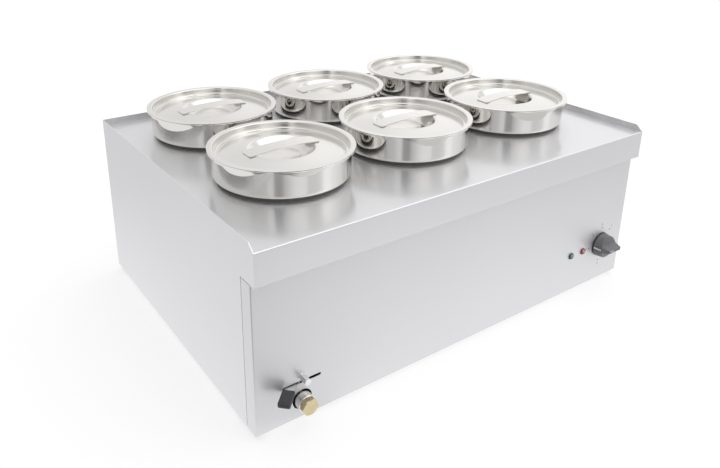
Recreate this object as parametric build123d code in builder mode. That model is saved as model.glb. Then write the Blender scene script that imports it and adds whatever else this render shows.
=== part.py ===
from build123d import *
import os
from math import cos, radians, sin

# Wet bain marie: a heated water well in a folded steel casing, with lidded pots standing in it.
# Millimetres. X runs to the right, Y to the back and Z up, from the floor under the middle.

# Sheet work of the casing
SHEET = 1.2
BEND = 2.0  # outer radius of a fold
FLANGE = 18.0  # inward flanges of the panels
SEAM = 0.9  # open line between two sheets that meet edge to edge
FLOOR_GAP = 10.0  # floor to the lower edge of the panels
UPSTAND = 10.5  # side and rear panels above the top plate
UPSTAND_CHAMFER = 12.5
APRON = 50.0
FRONT_RECESS = 13.0  # front panel behind the apron's face
FRONT_RETURN = 24.5  # front panel's flange round each front corner
PLATE_FLANGE = 15.0  # down-turned side flanges of the top plate
PANEL_TONGUE = 32.0  # front panel's height behind the apron
POST_LEG = 60.0  # corner post along the side
POST_WIDTH = 22.0  # corner post along the front
SCREW_ROWS = (0.2, 0.5, 0.8)  # rear screws, as shares of the rear panel's height

# Pots and the grid they stand in
COLUMNS = 3
ROWS = 2
RIM_GAP_X = 17.0  # between the rims of neighbours
RIM_GAP_Y = 17.0
SIDE_DECK = 57.5  # hole's edge to the side
FRONT_DECK = 96.5  # hole's edge to the apron's face
REAR_DECK = 42.5  # hole's edge to the back
POT_WALL = 0.9
POT_LOWER_R = 97.0
POT_DEPTH = 150.0  # below the top plate
POT_SHOULDER = 10.0  # upper wall outside the lower one
POT_RIM = 6.5  # rim outside the upper wall
POT_STAND = 46.1  # rim above the pot's shoulder
POT_FOOT_FILLET = 14.0
POT_SHOULDER_FILLET = 7.5
POT_INNER_FILLET = 1.2
HOLE_GAP = 1.5  # round a pot in its hole
HOLE_LIP = 3.3  # raised edge of a hole, which carries the pot
SEAL_W = 1.2  # soft ring round a hole's lip
SEAL_FIT = 0.05
REST_GAP = 0.3  # under a piece that lifts off

# Lids and their strap handles
LID_SHEET = 0.8
LID_WALL_GAP = 1.0  # lid's wall inside the pot's wall
LID_WALL_LEAN = 1.2
LID_WALL_DROP = 8.5
LID_LEDGE = 5.0
LID_STEP = 1.5
LID_EDGE_DROP = 12.0  # cone's edge below the rim
LID_RISE = 7.0  # cone, from its edge to the dish
LID_EDGE_FILLET = 1.2
DISH_R = 52.0
DISH_DEPTH = 14.0
DISH_SLOPE = 15.0  # run of the dish's side
DISH_FLOOR_FILLET = 16.0
DISH_RIM_FILLET = 5.0
STRAP_W = 28.0
STRAP_T = 1.5
STRAP_FOOT = 7.0
STRAP_RISE = 3.0
STRAP_LIFT = 0.1  # feet over the lid's cone
STRAP_CORNER = 5.0

# Water tank and its fittings
TANK_MARGIN = 10.0  # tank's wall outside the holes
TANK_CORNER = 40.0
TANK_FLOOR_FILLET = 12.0
TANK_FLANGE = 15.0
UNDER_POTS = 43.8  # pot's bottom to the tank's floor
UNDER_TANK = 94.6  # lower edge of the panels to the tank
ELEMENT_R = 4.25
ELEMENT_RISE = 22.0  # element's middle above the tank's floor
ELEMENT_RUNS = 4
ELEMENT_BEND = 45.0
ELEMENT_INSET = 50.0  # bends to the tank's wall
ELEMENT_OUT = 19.0  # cold ends outside the tank's wall
BUSH_R = 7.0
BUSH_FLANGE_R = 9.5
BUSH_FLANGE_T = 3.0
BUSH_HEX = 19.0
BUSH_HEX_T = 5.0
BUSH_CORNER_GAP = 1.0  # bush's flange to the tank's rounded corner
STAND_T = 2.0
STAND_MARGIN = 12.0  # stand past the outer runs
STAND_PLACE = 200.0  # stands left and right of the middle
POCKET_RISE = 35.0
POCKET_R = 4.5
POCKET_WALL = 0.9
POCKET_LENGTH = 90.0
POCKET_OUT = 6.0
POCKET_FROM_KNOB = 44.0
BULB_GAP = 0.2
BULB_LENGTH = 75.0
CAPILLARY_R = 1.25
CAPILLARY_BEND = 7.0
CAPILLARY_RUN = 12.6  # last turn to the pocket's mouth
CUTOUT_R = 12.0
CUTOUT_H = 10.0
CUTOUT_PLATE = (42.0, 22.0, 1.5)
CUTOUT_PLACE = (150.0, 60.0)  # from the tank's middle

# Knob, thermostat and lamps
CONTROL_RISE = 73.0  # above the lower edge of the panel
KNOB_FROM_RIGHT = 61.0
RED_FROM_KNOB = 52.0
GREEN_FROM_RED = 33.0
KNOB_GAP = 0.8
KNOB_R = 22.0
KNOB_RIM = 3.0
KNOB_SKIRT = 16.0  # end of the skirt's taper ahead of the panel
KNOB_NECK_R = 16.5
KNOB_OUT = 33.0  # grip's end ahead of the panel
KNOB_EDGE = 1.2
KNOB_BAR = 5.6  # grip bar's thickness at its end
SCOOP_R = 24.0  # hollow above and below the grip bar
SCOOP_START = 11.0  # hollows' inner end ahead of the panel
SPINDLE_R = 3.0
SPINDLE_FLAT = 1.4
SPINDLE_IN_KNOB = 19.0
SPINDLE_IN_BODY = 12.0
SPINDLE_HOLE_R = 5.0
RUN_GAP = 0.05  # turning fits
THERMOSTAT = (46.0, 35.0, 36.0)
THERMOSTAT_PLATE = (60.0, 1.5, 30.0)
THERMOSTAT_EDGE = 3.0
TAB = (6.3, 8.0, 0.8)
TAB_PITCH = 16.0
LAMP_R = 6.5
LAMP_RIM = 2.0
LAMP_DOME = 2.6
LAMP_SHANK_R = 4.9
LAMP_SHANK = 9.0
LAMP_HOLE_GAP = 0.1
LAMP_BODY_R = 6.2
LAMP_BODY = 21.0

# Drain and tap
TAP_FROM_LEFT = 75.0
TAP_RISE = 29.5
STEM_BACK = 18.0  # stem behind the front panel's face
COLLAR_OUT = 14.0
COLLAR_WALL = 4.2
COLLAR_EDGE = 1.0
CHAMBER_WALL = 5.5
CHAMBER_CONE = 3.0
CHAMBER_GAP = 1.0  # round the ball
CHAMBER_END = 2.0  # past the ball
WATERWAY_R = 5.5
OUTLET_R = 9.3
OUTLET_DEPTH = 12.0
BALL_R = 11.0
SEAT_GAP = 0.3
SEAT_HALF = 6.0
SEAT_FIT = 0.1
INLET_HEX = 28.0
INLET_LENGTH = 21.0
INLET_COLLAR = 4.0
PIPE_R = 10.65
PIPE_WALL = 2.6
PIPE_IN = 14.0
PIPE_BEND = 35.0
DRAIN_BACK = 75.0  # drain behind the tank's front wall
SOCKET_R = 15.0
SOCKET_H = 12.0
STEM_R = 4.0
STEM_SHOULDER_R = 6.0
STEM_SHOULDER = 1.8
STEM_THREAD_R = 3.0
STEM_END = 1.0
BOSS_R = 9.0
BOSS_RISE = 8.5  # above the chamber
TONGUE_T = 2.8
TONGUE_DEPTH = 3.2
TONGUE_GAP = 0.1
NUT_HEX = 10.0
NUT_T = 5.0
LEVER_T = 2.0
LEVER_HUB_R = 9.0
LEVER_W = 16.0
LEVER_TANG_W = 12.0
GRIP_START = 36.0
GRIP_LENGTH = 31.0
GRIP_CAP = 5.0  # closed end past the lever's tang
GRIP_W = 18.0
GRIP_T = 7.0
GRIP_CORNER = 3.0
GRIP_EDGE = 1.2
LEVER_ANGLE = 45.0  # either side of straight ahead
SLOT_END_GAP = 2.2
SLOT_UNDER = 0.6
SLOT_OVER = 1.9
TAP_HOLE_GAP = 2.5
PLUG_HEX = 23.5
PLUG_T = 8.5
PLUG_SHANK = 10.0
PLUG_EDGE = 1.6
BOLT_OVER_SLOT = 0.4  # washer's edge above the slot
BOLT_R = 3.0
BOLT_HEX = 10.0
BOLT_HEAD = 15.0
BOLT_NUT = 5.0
BOLT_END = 1.0
THREAD_GAP = 0.05  # between a nut and its bolt
WASHER_R = 6.0
WASHER_T = 1.2
BRACKET_W = 24.0
BRACKET_T = 2.0
BRACKET_RISE = 13.0  # above the bolt
BRACKET_BEND = 3.0
BRACKET_LEG_GAP = 5.0  # rear leg behind the tap's inlet
BRACKET_BELOW = 15.0
BRACKET_FIT = 0.1

# Feet, mains entry and wiring
FOOT_TOP_R = 16.0
FOOT_FLOOR_R = 19.0
FOOT_INSET = 75.0
FOOT_RECESS_R = 8.0
FOOT_RECESS = 6.0
SCREW_R = 2.5
SCREW_HEAD_R = 4.5
SCREW_HEAD = 2.6
SCREW_LENGTH = 12.0
VENT = (60.0, 6.0)
VENT_COUNT = 8
VENT_PITCH = 18.0
GLAND_FROM_RIGHT = 100.0
GLAND_RISE = 50.0
GLAND_BORE_R = 5.0
GLAND_THREAD_R = 9.8
GLAND_THREAD = 13.0
GLAND_HEX = 24.0
GLAND_HEX_T = 6.0
GLAND_CAP_R = 11.5
GLAND_CAP_END_R = 8.0
GLAND_OUT = 19.0
LOCKNUT_HEX = 27.0
LOCKNUT_T = 5.0
BLOCK = (66.0, 28.0, 22.0)
BLOCK_FROM_RIGHT = 150.0
BLOCK_FROM_REAR = 80.0
BLOCK_WAYS = 3
BLOCK_WAY_PITCH = 20.0
BLOCK_WAY_R = 4.0
LOOM_R = 3.5
LOOM_LIFT = 0.2
LOOM_BEND = 30.0
LOOM_TURN = 90.0  # where the loom leaves the base, behind the thermostat
LOOM_RISE = 40.0

# Sizes that follow
POT_UPPER_R = POT_LOWER_R + POT_SHOULDER
POT_RIM_R = POT_UPPER_R + POT_RIM
PITCH_X = 2 * POT_RIM_R + RIM_GAP_X
PITCH_Y = 2 * POT_RIM_R + RIM_GAP_Y
HOLE_R = POT_LOWER_R + HOLE_GAP
BODY_W = (COLUMNS - 1) * PITCH_X + 2 * (HOLE_R + SIDE_DECK)
BODY_D = (ROWS - 1) * PITCH_Y + 2 * HOLE_R + FRONT_DECK + REAR_DECK
HALF_W = BODY_W / 2
INNER_W = HALF_W - SHEET
PANEL_Z = FLOOR_GAP
BASE_Z = PANEL_Z + SHEET
TANK_Z = PANEL_Z + UNDER_TANK
TANK_FLOOR = TANK_Z + SHEET
DECK_Z = TANK_FLOOR + UNDER_POTS + POT_DEPTH
DECK_UNDER = DECK_Z - SHEET
TOP_Z = DECK_Z + UPSTAND
APRON_Z = DECK_Z - APRON
TANK_W = (COLUMNS - 1) * PITCH_X + 2 * (HOLE_R + TANK_MARGIN)
TANK_D = (ROWS - 1) * PITCH_Y + 2 * (HOLE_R + TANK_MARGIN)
ELEMENT_PITCH = (TANK_D - 2 * (TANK_CORNER + BUSH_FLANGE_R + BUSH_CORNER_GAP)) / (ELEMENT_RUNS - 1)
TAP_X = TAP_FROM_LEFT - HALF_W
TAP_Z = PANEL_Z + TAP_RISE
STEM_Y = FRONT_RECESS + STEM_BACK
COLLAR_R = OUTLET_R + COLLAR_WALL
CHAMBER_R = BALL_R + CHAMBER_GAP
CHAMBER_HALF = BALL_R + CHAMBER_END
CHAMBER_OUTER_R = CHAMBER_R + CHAMBER_WALL
BOSS_Z = TAP_Z + CHAMBER_OUTER_R + BOSS_RISE
LEVER_Z = BOSS_Z + SEAT_GAP + STEM_SHOULDER
KNOB_X = HALF_W - KNOB_FROM_RIGHT
CONTROL_Z = PANEL_Z + CONTROL_RISE
RED_X = KNOB_X - RED_FROM_KNOB
GREEN_X = RED_X - GREEN_FROM_RED

# How far the lever's grip and the knob stand ahead of the apron's face, so that Y is centred on the whole
lean = radians(LEVER_ANGLE)
GRIP_END = GRIP_START + GRIP_LENGTH
LEVER_TANG_END = GRIP_END - GRIP_CAP
grip_corner_cut = GRIP_CORNER * (cos(lean) + sin(lean) - 1)
grip_reach = GRIP_END * cos(lean) + GRIP_W / 2 * sin(lean) - grip_corner_cut - STEM_Y
FRONT_REACH = max(grip_reach, KNOB_OUT - FRONT_RECESS)
APRON_Y = -(BODY_D + GLAND_OUT - FRONT_REACH) / 2


def back(distance):
    """Y of a point that lies this far behind the apron's face."""
    return APRON_Y + distance


PANEL_Y = back(FRONT_RECESS)
PANEL_IN_Y = PANEL_Y + SHEET
REAR_Y = back(BODY_D)
REAR_IN_Y = REAR_Y - SHEET
STEM_AT_Y = back(STEM_Y)
HOLES_MID_Y = back(FRONT_DECK + HOLE_R + (ROWS - 1) * PITCH_Y / 2)
TANK_FRONT_Y = HOLES_MID_Y - TANK_D / 2 - SHEET
panel_face = Plane(origin=(0, PANEL_Y, 0), x_dir=(1, 0, 0), z_dir=(0, -1, 0))
pot_grid = GridLocations(PITCH_X, PITCH_Y, COLUMNS, ROWS)
pot_centres = [(place.position.X, HOLES_MID_Y + place.position.Y) for place in pot_grid]
# Numbered from the front left pot, along the front row and then the rear one
pot_centres.sort(key=lambda centre: (centre[1], centre[0]))


def block(x_range, y_range, z_range, mode=Mode.ADD):
    """A box between two corners, in the part that is being built."""
    spans = [high - low for low, high in (x_range, y_range, z_range)]
    middle = [(low + high) / 2 for low, high in (x_range, y_range, z_range)]
    with Locations(tuple(middle)):
        Box(*spans, mode=mode)


def facing_front(x, y, z):
    """A plane at this point whose normal points to the front."""
    return Plane(origin=(x, y, z), x_dir=(1, 0, 0), z_dir=(0, -1, 0))


def lengthwise(x, y, z):
    """A plane at this point to draw a turned piece on: along to the front, out from its axis upwards."""
    return Plane(origin=(x, y, z), x_dir=(0, -1, 0), z_dir=(-1, 0, 0))


def axis_y(x, z):
    """The line along Y through this point."""
    return Axis((x, 0, z), (0, 1, 0))


def keep(builder, name):
    """Labels a finished piece and writes it under its name."""
    builder.part.label = name
    export_step(builder.part, f"parts/{name}.step")


os.makedirs("parts", exist_ok=True)

# Top plate: one sheet with lipped holes for the pots, folded down into the apron and back to the front panel
with BuildPart() as top_plate:
    with BuildSketch(Plane.YZ):
        with BuildLine():
            FilletPolyline(
                (REAR_IN_Y, DECK_Z),
                (APRON_Y, DECK_Z),
                (APRON_Y, APRON_Z),
                (PANEL_Y, APRON_Z),
                radius=BEND,
            )
            offset(amount=SHEET, side=Side.LEFT)
        make_face()
    extrude(amount=INNER_W, both=True)
    for side in (-1, 1):
        flange_x = sorted((side * INNER_W, side * (INNER_W - SHEET)))
        block(flange_x, (PANEL_IN_Y + FLANGE, REAR_IN_Y - FLANGE), (DECK_UNDER - PLATE_FLANGE, DECK_UNDER))
    with Locations(*[(x, y, DECK_Z) for x, y in pot_centres]):
        Hole(radius=HOLE_R, depth=SHEET)
    with BuildSketch(Plane.XY.offset(DECK_UNDER)):
        with Locations(*pot_centres):
            Circle(HOLE_R + SHEET)
            Circle(HOLE_R, mode=Mode.SUBTRACT)
    extrude(amount=SHEET + HOLE_LIP)
keep(top_plate, "top_plate")

# Seals: a soft ring round each hole's lip, under the pot's shoulder
seal_in_r = HOLE_R + SHEET + SEAL_FIT
with BuildPart() as pot_seals:
    with BuildSketch(Plane.XY.offset(DECK_Z)):
        with Locations(*pot_centres):
            Circle(seal_in_r + SEAL_W)
            Circle(seal_in_r, mode=Mode.SUBTRACT)
    extrude(amount=HOLE_LIP)
keep(pot_seals, "pot_seals")

# Side panels: cut back at the front corner for the front panel's flange, and standing above the top plate
return_y = PANEL_Y + FRONT_RETURN + SEAM
screw_x = INNER_W - FLANGE / 2
screw_z = [PANEL_Z + share * (DECK_Z - PANEL_Z) for share in SCREW_ROWS]
for name, side in (("left_side_panel", -1), ("right_side_panel", 1)):
    with BuildPart() as side_panel:
        with BuildSketch(Plane.YZ.offset(side * HALF_W)):
            with BuildLine():
                Polyline(
                    (APRON_Y, APRON_Z),
                    (APRON_Y, DECK_Z),
                    (APRON_Y + UPSTAND_CHAMFER, TOP_Z),
                    (REAR_Y, TOP_Z),
                    (REAR_Y, PANEL_Z),
                    (return_y, PANEL_Z),
                    (return_y, APRON_Z),
                    close=True,
                )
            make_face()
        extrude(amount=-side * SHEET)
        flange_x = sorted((side * INNER_W, side * (INNER_W - FLANGE)))
        lower_y = (return_y + 2 * FLANGE, REAR_IN_Y - 2 * FLANGE)
        block(flange_x, lower_y, (PANEL_Z, BASE_Z))
        block(flange_x, (REAR_IN_Y - SHEET, REAR_IN_Y), (BASE_Z + 2 * FLANGE, DECK_UNDER - 2 * FLANGE))
        with Locations(*[facing_front(side * screw_x, REAR_IN_Y, z) for z in screw_z]):
            Hole(radius=SCREW_R, depth=2 * SHEET)
    keep(side_panel, name)

# Rear panel, between the sides, with the cable gland's hole
gland_x = HALF_W - GLAND_FROM_RIGHT
gland_z = PANEL_Z + GLAND_RISE
rear_screws = [(side * screw_x, z) for side in (-1, 1) for z in screw_z]
with BuildPart() as rear_panel:
    block((-INNER_W, INNER_W), (REAR_IN_Y, REAR_Y), (PANEL_Z, TOP_Z))
    block((FLANGE - INNER_W, INNER_W - FLANGE), (REAR_IN_Y - FLANGE, REAR_IN_Y), (PANEL_Z, BASE_Z))
    with Locations(facing_front(gland_x, REAR_IN_Y, gland_z)):
        Hole(radius=GLAND_THREAD_R)
    with Locations(*[facing_front(x, REAR_IN_Y, z) for x, z in rear_screws]):
        Hole(radius=SCREW_R)
keep(rear_panel, "rear_panel")

# Front panel: a tray bent round both front corners, with a tongue behind the apron
slot_z = (LEVER_Z - SLOT_UNDER, LEVER_Z + LEVER_T + SLOT_OVER)
slot_half = STEM_BACK * sin(lean) / cos(lean) + LEVER_W / 2 / cos(lean) + SLOT_END_GAP
bolt_z = slot_z[1] + BOLT_OVER_SLOT + WASHER_R
with BuildPart() as front_panel:
    with BuildSketch(Plane.XY.offset(PANEL_Z)):
        with BuildLine():
            FilletPolyline(
                (-HALF_W, PANEL_Y + FRONT_RETURN),
                (-HALF_W, PANEL_Y),
                (HALF_W, PANEL_Y),
                (HALF_W, PANEL_Y + FRONT_RETURN),
                radius=BEND,
            )
            offset(amount=SHEET, side=Side.LEFT)
        make_face()
    extrude(amount=APRON_Z - SEAM - PANEL_Z)
    tongue_half = INNER_W - BEND
    block((-tongue_half, tongue_half), (PANEL_Y, PANEL_IN_Y), (APRON_Z - SEAM, APRON_Z + PANEL_TONGUE))
    block((FLANGE - INNER_W, INNER_W - FLANGE), (PANEL_IN_Y, PANEL_Y + FLANGE), (PANEL_Z, BASE_Z))
    with BuildSketch(panel_face):
        with Locations((KNOB_X, CONTROL_Z)):
            Circle(SPINDLE_HOLE_R)
        with Locations((RED_X, CONTROL_Z), (GREEN_X, CONTROL_Z)):
            Circle(LAMP_SHANK_R + LAMP_HOLE_GAP)
        with Locations((TAP_X, TAP_Z)):
            Circle(COLLAR_R + TAP_HOLE_GAP)
        with Locations((TAP_X, (slot_z[0] + slot_z[1]) / 2)):
            SlotOverall(2 * slot_half, slot_z[1] - slot_z[0])
        with Locations((TAP_X, bolt_z)):
            Circle(BOLT_R)
    extrude(amount=-SHEET, mode=Mode.SUBTRACT)
keep(front_panel, "front_panel")

# Base panel, on the inward flanges, with vent slots under the controls
foot_x = HALF_W - FOOT_INSET
foot_y = (BODY_D - FRONT_RECESS) / 2 - FOOT_INSET
foot_mid_y = back((BODY_D + FRONT_RECESS) / 2)
foot_places = [(x * foot_x, foot_mid_y + y * foot_y) for x in (-1, 1) for y in (-1, 1)]
base_top = BASE_Z + SHEET
with BuildPart() as base_panel:
    base_half = INNER_W - SEAM
    block((-base_half, base_half), (PANEL_IN_Y + SEAM, REAR_IN_Y - SEAM), (BASE_Z, base_top))
    with BuildSketch(Plane.XY.offset(BASE_Z)):
        with Locations((RED_X, PANEL_Y + FOOT_INSET + VENT_COUNT * VENT_PITCH / 2 + FLANGE)):
            with GridLocations(VENT[0], VENT_PITCH, 1, VENT_COUNT):
                SlotOverall(*VENT)
        with Locations(*foot_places):
            Circle(SCREW_R)
    extrude(amount=SHEET, mode=Mode.SUBTRACT)
keep(base_panel, "base_panel")

# Corner posts: angles behind the seams between the front panel's flanges and the sides
for name, side in (("left_corner_post", -1), ("right_corner_post", 1)):
    with BuildPart() as corner_post:
        leg_x = sorted((side * INNER_W, side * (INNER_W - SHEET)))
        front_x = sorted((side * INNER_W, side * (INNER_W - POST_WIDTH)))
        post_z = (base_top, APRON_Z - SEAM)
        block(leg_x, (PANEL_IN_Y + BEND, PANEL_IN_Y + POST_LEG), post_z)
        block(front_x, (PANEL_IN_Y, PANEL_IN_Y + SHEET), post_z)
        cut_x = sorted((side * INNER_W, side * (INNER_W - BEND)))
        block(cut_x, (PANEL_IN_Y, PANEL_IN_Y + BEND), post_z, mode=Mode.SUBTRACT)
        with BuildSketch(Plane.XY.offset(post_z[0])):
            with BuildLine():
                Polyline(
                    (side * INNER_W, PANEL_IN_Y + BEND),
                    (side * (INNER_W - BEND), PANEL_IN_Y),
                    (side * (INNER_W - BEND), PANEL_IN_Y + SHEET),
                    (side * (INNER_W - SHEET), PANEL_IN_Y + BEND),
                    close=True,
                )
            make_face()
        extrude(amount=post_z[1] - post_z[0])
    keep(corner_post, name)

# Rubber feet, wider at the floor, with a recess for the screw's head
with BuildPart() as rubber_feet:
    with Locations(*[(x, y, BASE_Z / 2) for x, y in foot_places]):
        Cone(FOOT_FLOOR_R, FOOT_TOP_R, BASE_Z)
    with Locations(*[(x, y, FOOT_RECESS / 2) for x, y in foot_places]):
        Cylinder(FOOT_RECESS_R, FOOT_RECESS, mode=Mode.SUBTRACT)
    with Locations(*[(x, y, BASE_Z / 2) for x, y in foot_places]):
        Cylinder(SCREW_R, BASE_Z, mode=Mode.SUBTRACT)
keep(rubber_feet, "rubber_feet")

with BuildPart() as foot_screws:
    with Locations(*[(x, y, FOOT_RECESS - SCREW_HEAD / 2) for x, y in foot_places]):
        Cylinder(SCREW_HEAD_R, SCREW_HEAD)
    with Locations(*[(x, y, FOOT_RECESS + SCREW_LENGTH / 2) for x, y in foot_places]):
        Cylinder(SCREW_R, SCREW_LENGTH)
keep(foot_screws, "foot_screws")

# Screws that hold the rear panel to the sides' rear flanges
with BuildPart() as rear_panel_screws:
    for x, z in rear_screws:
        with BuildSketch(facing_front(x, REAR_Y + SCREW_HEAD, z)):
            Circle(SCREW_HEAD_R)
        extrude(amount=SCREW_HEAD)
        with BuildSketch(facing_front(x, REAR_Y, z)):
            Circle(SCREW_R)
        extrude(amount=SCREW_LENGTH)
keep(rear_panel_screws, "rear_panel_screws")

# Water tank: a drawn well under the holes, hung by its flange from the top plate
element_y = [HOLES_MID_Y + (run - (ELEMENT_RUNS - 1) / 2) * ELEMENT_PITCH for run in range(ELEMENT_RUNS)]
element_z = TANK_FLOOR + ELEMENT_RISE
pocket_x = KNOB_X - POCKET_FROM_KNOB
pocket_z = TANK_FLOOR + POCKET_RISE
drain_y = TANK_FRONT_Y + DRAIN_BACK
with BuildPart() as water_tank:
    with BuildSketch(Plane.XY.offset(TANK_Z)):
        with Locations((0, HOLES_MID_Y)):
            RectangleRounded(TANK_W + 2 * SHEET, TANK_D + 2 * SHEET, TANK_CORNER)
    extrude(amount=DECK_UNDER - TANK_Z)
    fillet(water_tank.edges().group_by(Axis.Z)[0], TANK_FLOOR_FILLET)
    offset(amount=-SHEET, openings=water_tank.faces().sort_by(Axis.Z)[-1])
    with BuildSketch(Plane.XY.offset(DECK_UNDER - SHEET)):
        with Locations((0, HOLES_MID_Y)):
            flange_w = TANK_W + 2 * TANK_FLANGE
            RectangleRounded(flange_w, TANK_D + 2 * TANK_FLANGE, TANK_CORNER + TANK_FLANGE)
            RectangleRounded(TANK_W, TANK_D, TANK_CORNER - SHEET, mode=Mode.SUBTRACT)
    extrude(amount=SHEET)
    with Locations((TAP_X, drain_y, TANK_FLOOR)):
        Hole(radius=PIPE_R - PIPE_WALL, depth=2 * SHEET)
    with Locations(facing_front(pocket_x, TANK_FRONT_Y, pocket_z)):
        Hole(radius=POCKET_R, depth=2 * SHEET)
    wall_x = TANK_W / 2
    for y in (element_y[0], element_y[-1]):
        with Locations((wall_x + SHEET / 2, y, element_z)):
            Cylinder(BUSH_R, 2 * SHEET, rotation=(0, 90, 0), mode=Mode.SUBTRACT)
keep(water_tank, "water_tank")

# Heating element: one tube in long runs over the tank's floor, both ends out through the right wall
bend_x = wall_x - ELEMENT_INSET
element_end_x = wall_x + SHEET + ELEMENT_OUT
element_route = [(element_end_x, element_y[0], element_z)]
for run in range(ELEMENT_RUNS - 1):
    turn_x = -bend_x if run % 2 == 0 else bend_x
    element_route += [(turn_x, element_y[run], element_z), (turn_x, element_y[run + 1], element_z)]
element_route += [(element_end_x, element_y[-1], element_z)]
with BuildPart() as heating_element:
    with BuildLine():
        FilletPolyline(*element_route, radius=ELEMENT_BEND)
    with BuildSketch(Plane(origin=element_route[0], z_dir=(-1, 0, 0))):
        Circle(ELEMENT_R)
    sweep()
keep(heating_element, "heating_element")

# Brass bushes that seal the element's ends in the tank's wall
with BuildPart() as element_bushes:
    for y in (element_y[0], element_y[-1]):
        with BuildSketch(Plane(origin=(wall_x - BUSH_FLANGE_T, y, element_z), z_dir=(1, 0, 0))):
            Circle(BUSH_FLANGE_R)
            Circle(ELEMENT_R, mode=Mode.SUBTRACT)
        extrude(amount=BUSH_FLANGE_T)
        with BuildSketch(Plane(origin=(wall_x, y, element_z), z_dir=(1, 0, 0))):
            Circle(BUSH_R)
            Circle(ELEMENT_R, mode=Mode.SUBTRACT)
        extrude(amount=SHEET)
        with BuildSketch(Plane(origin=(wall_x + SHEET, y, element_z), z_dir=(1, 0, 0))):
            RegularPolygon(BUSH_HEX / 2, 6, major_radius=False)
            Circle(ELEMENT_R, mode=Mode.SUBTRACT)
        extrude(amount=BUSH_HEX_T)
keep(element_bushes, "element_bushes")

# Combs on the tank's floor that carry the element's runs
with BuildPart() as element_stands:
    for place in (-STAND_PLACE, STAND_PLACE):
        with BuildSketch(Plane(origin=(place, HOLES_MID_Y, 0), x_dir=(0, 1, 0), z_dir=(1, 0, 0))):
            stand_w = element_y[-1] - element_y[0] + 2 * STAND_MARGIN
            with Locations((0, TANK_FLOOR + ELEMENT_RISE / 2)):
                Rectangle(stand_w, ELEMENT_RISE)
            with Locations(*[(y - HOLES_MID_Y, element_z) for y in element_y]):
                Circle(ELEMENT_R, mode=Mode.SUBTRACT)
        extrude(amount=STAND_T)
keep(element_stands, "element_stands")

# Thermostat behind the panel, with its fixing plate and terminals
body_front_y = PANEL_IN_Y + THERMOSTAT_PLATE[1]
body_back_y = body_front_y + THERMOSTAT[1]
with BuildPart() as thermostat_body:
    with Locations((KNOB_X, (body_front_y + body_back_y) / 2, CONTROL_Z)):
        Box(*THERMOSTAT)
    fillet(thermostat_body.edges().filter_by(Axis.Y), THERMOSTAT_EDGE)
    with Locations((KNOB_X, (PANEL_IN_Y + body_front_y) / 2, CONTROL_Z)):
        Box(*THERMOSTAT_PLATE)
    with Locations((KNOB_X, body_back_y + TAB[1] / 2, CONTROL_Z)):
        with GridLocations(TAB_PITCH, TAB_PITCH, 2, 1):
            Box(*TAB)
    with Locations(facing_front(KNOB_X, PANEL_IN_Y, CONTROL_Z)):
        Hole(radius=SPINDLE_R + RUN_GAP, depth=THERMOSTAT_PLATE[1] + SPINDLE_IN_BODY)
keep(thermostat_body, "thermostat_body")

# Spindle with a flat, from the thermostat into the knob
spindle_back_y = body_front_y + SPINDLE_IN_BODY - REST_GAP
spindle_front_y = PANEL_Y - KNOB_GAP - SPINDLE_IN_KNOB
with BuildPart() as thermostat_spindle:
    with BuildSketch(facing_front(KNOB_X, spindle_back_y, CONTROL_Z)):
        Circle(SPINDLE_R)
    extrude(amount=spindle_back_y - spindle_front_y)
    flat_z = CONTROL_Z + SPINDLE_R - SPINDLE_FLAT
    flat_x = (KNOB_X - SPINDLE_R, KNOB_X + SPINDLE_R)
    block(flat_x, (spindle_front_y, PANEL_Y - KNOB_GAP), (flat_z, CONTROL_Z + SPINDLE_R), mode=Mode.SUBTRACT)
keep(thermostat_spindle, "thermostat_spindle")

# Pocket through the tank's front wall, and the capillary with its bulb in the pocket
pocket_end_y = TANK_FRONT_Y + POCKET_LENGTH
pocket_mouth_y = TANK_FRONT_Y - POCKET_OUT
with BuildPart() as bulb_pocket:
    with BuildSketch(facing_front(pocket_x, pocket_end_y, pocket_z)):
        Circle(POCKET_R)
    extrude(amount=pocket_end_y - pocket_mouth_y)
    with Locations(facing_front(pocket_x, pocket_mouth_y, pocket_z)):
        Hole(radius=POCKET_R - POCKET_WALL, depth=pocket_end_y - pocket_mouth_y - POCKET_WALL)
keep(bulb_pocket, "bulb_pocket")

capillary_x = KNOB_X - TAB_PITCH
capillary_turn_y = pocket_mouth_y - CAPILLARY_RUN
bulb_end_y = pocket_end_y - POCKET_WALL
bulb_start_y = bulb_end_y - BULB_LENGTH
with BuildPart() as thermostat_bulb:
    with BuildSketch(facing_front(pocket_x, bulb_end_y, pocket_z)):
        Circle(POCKET_R - POCKET_WALL - BULB_GAP)
    extrude(amount=BULB_LENGTH)
    with BuildLine():
        FilletPolyline(
            (capillary_x, body_back_y, CONTROL_Z + TAB_PITCH / 2),
            (capillary_x, capillary_turn_y, CONTROL_Z + TAB_PITCH / 2),
            (pocket_x, capillary_turn_y, pocket_z),
            (pocket_x, bulb_start_y, pocket_z),
            radius=CAPILLARY_BEND,
        )
    with BuildSketch(Plane(origin=(capillary_x, body_back_y, CONTROL_Z + TAB_PITCH / 2), z_dir=(0, 1, 0))):
        Circle(CAPILLARY_R)
    sweep()
keep(thermostat_bulb, "thermostat_bulb")

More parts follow.
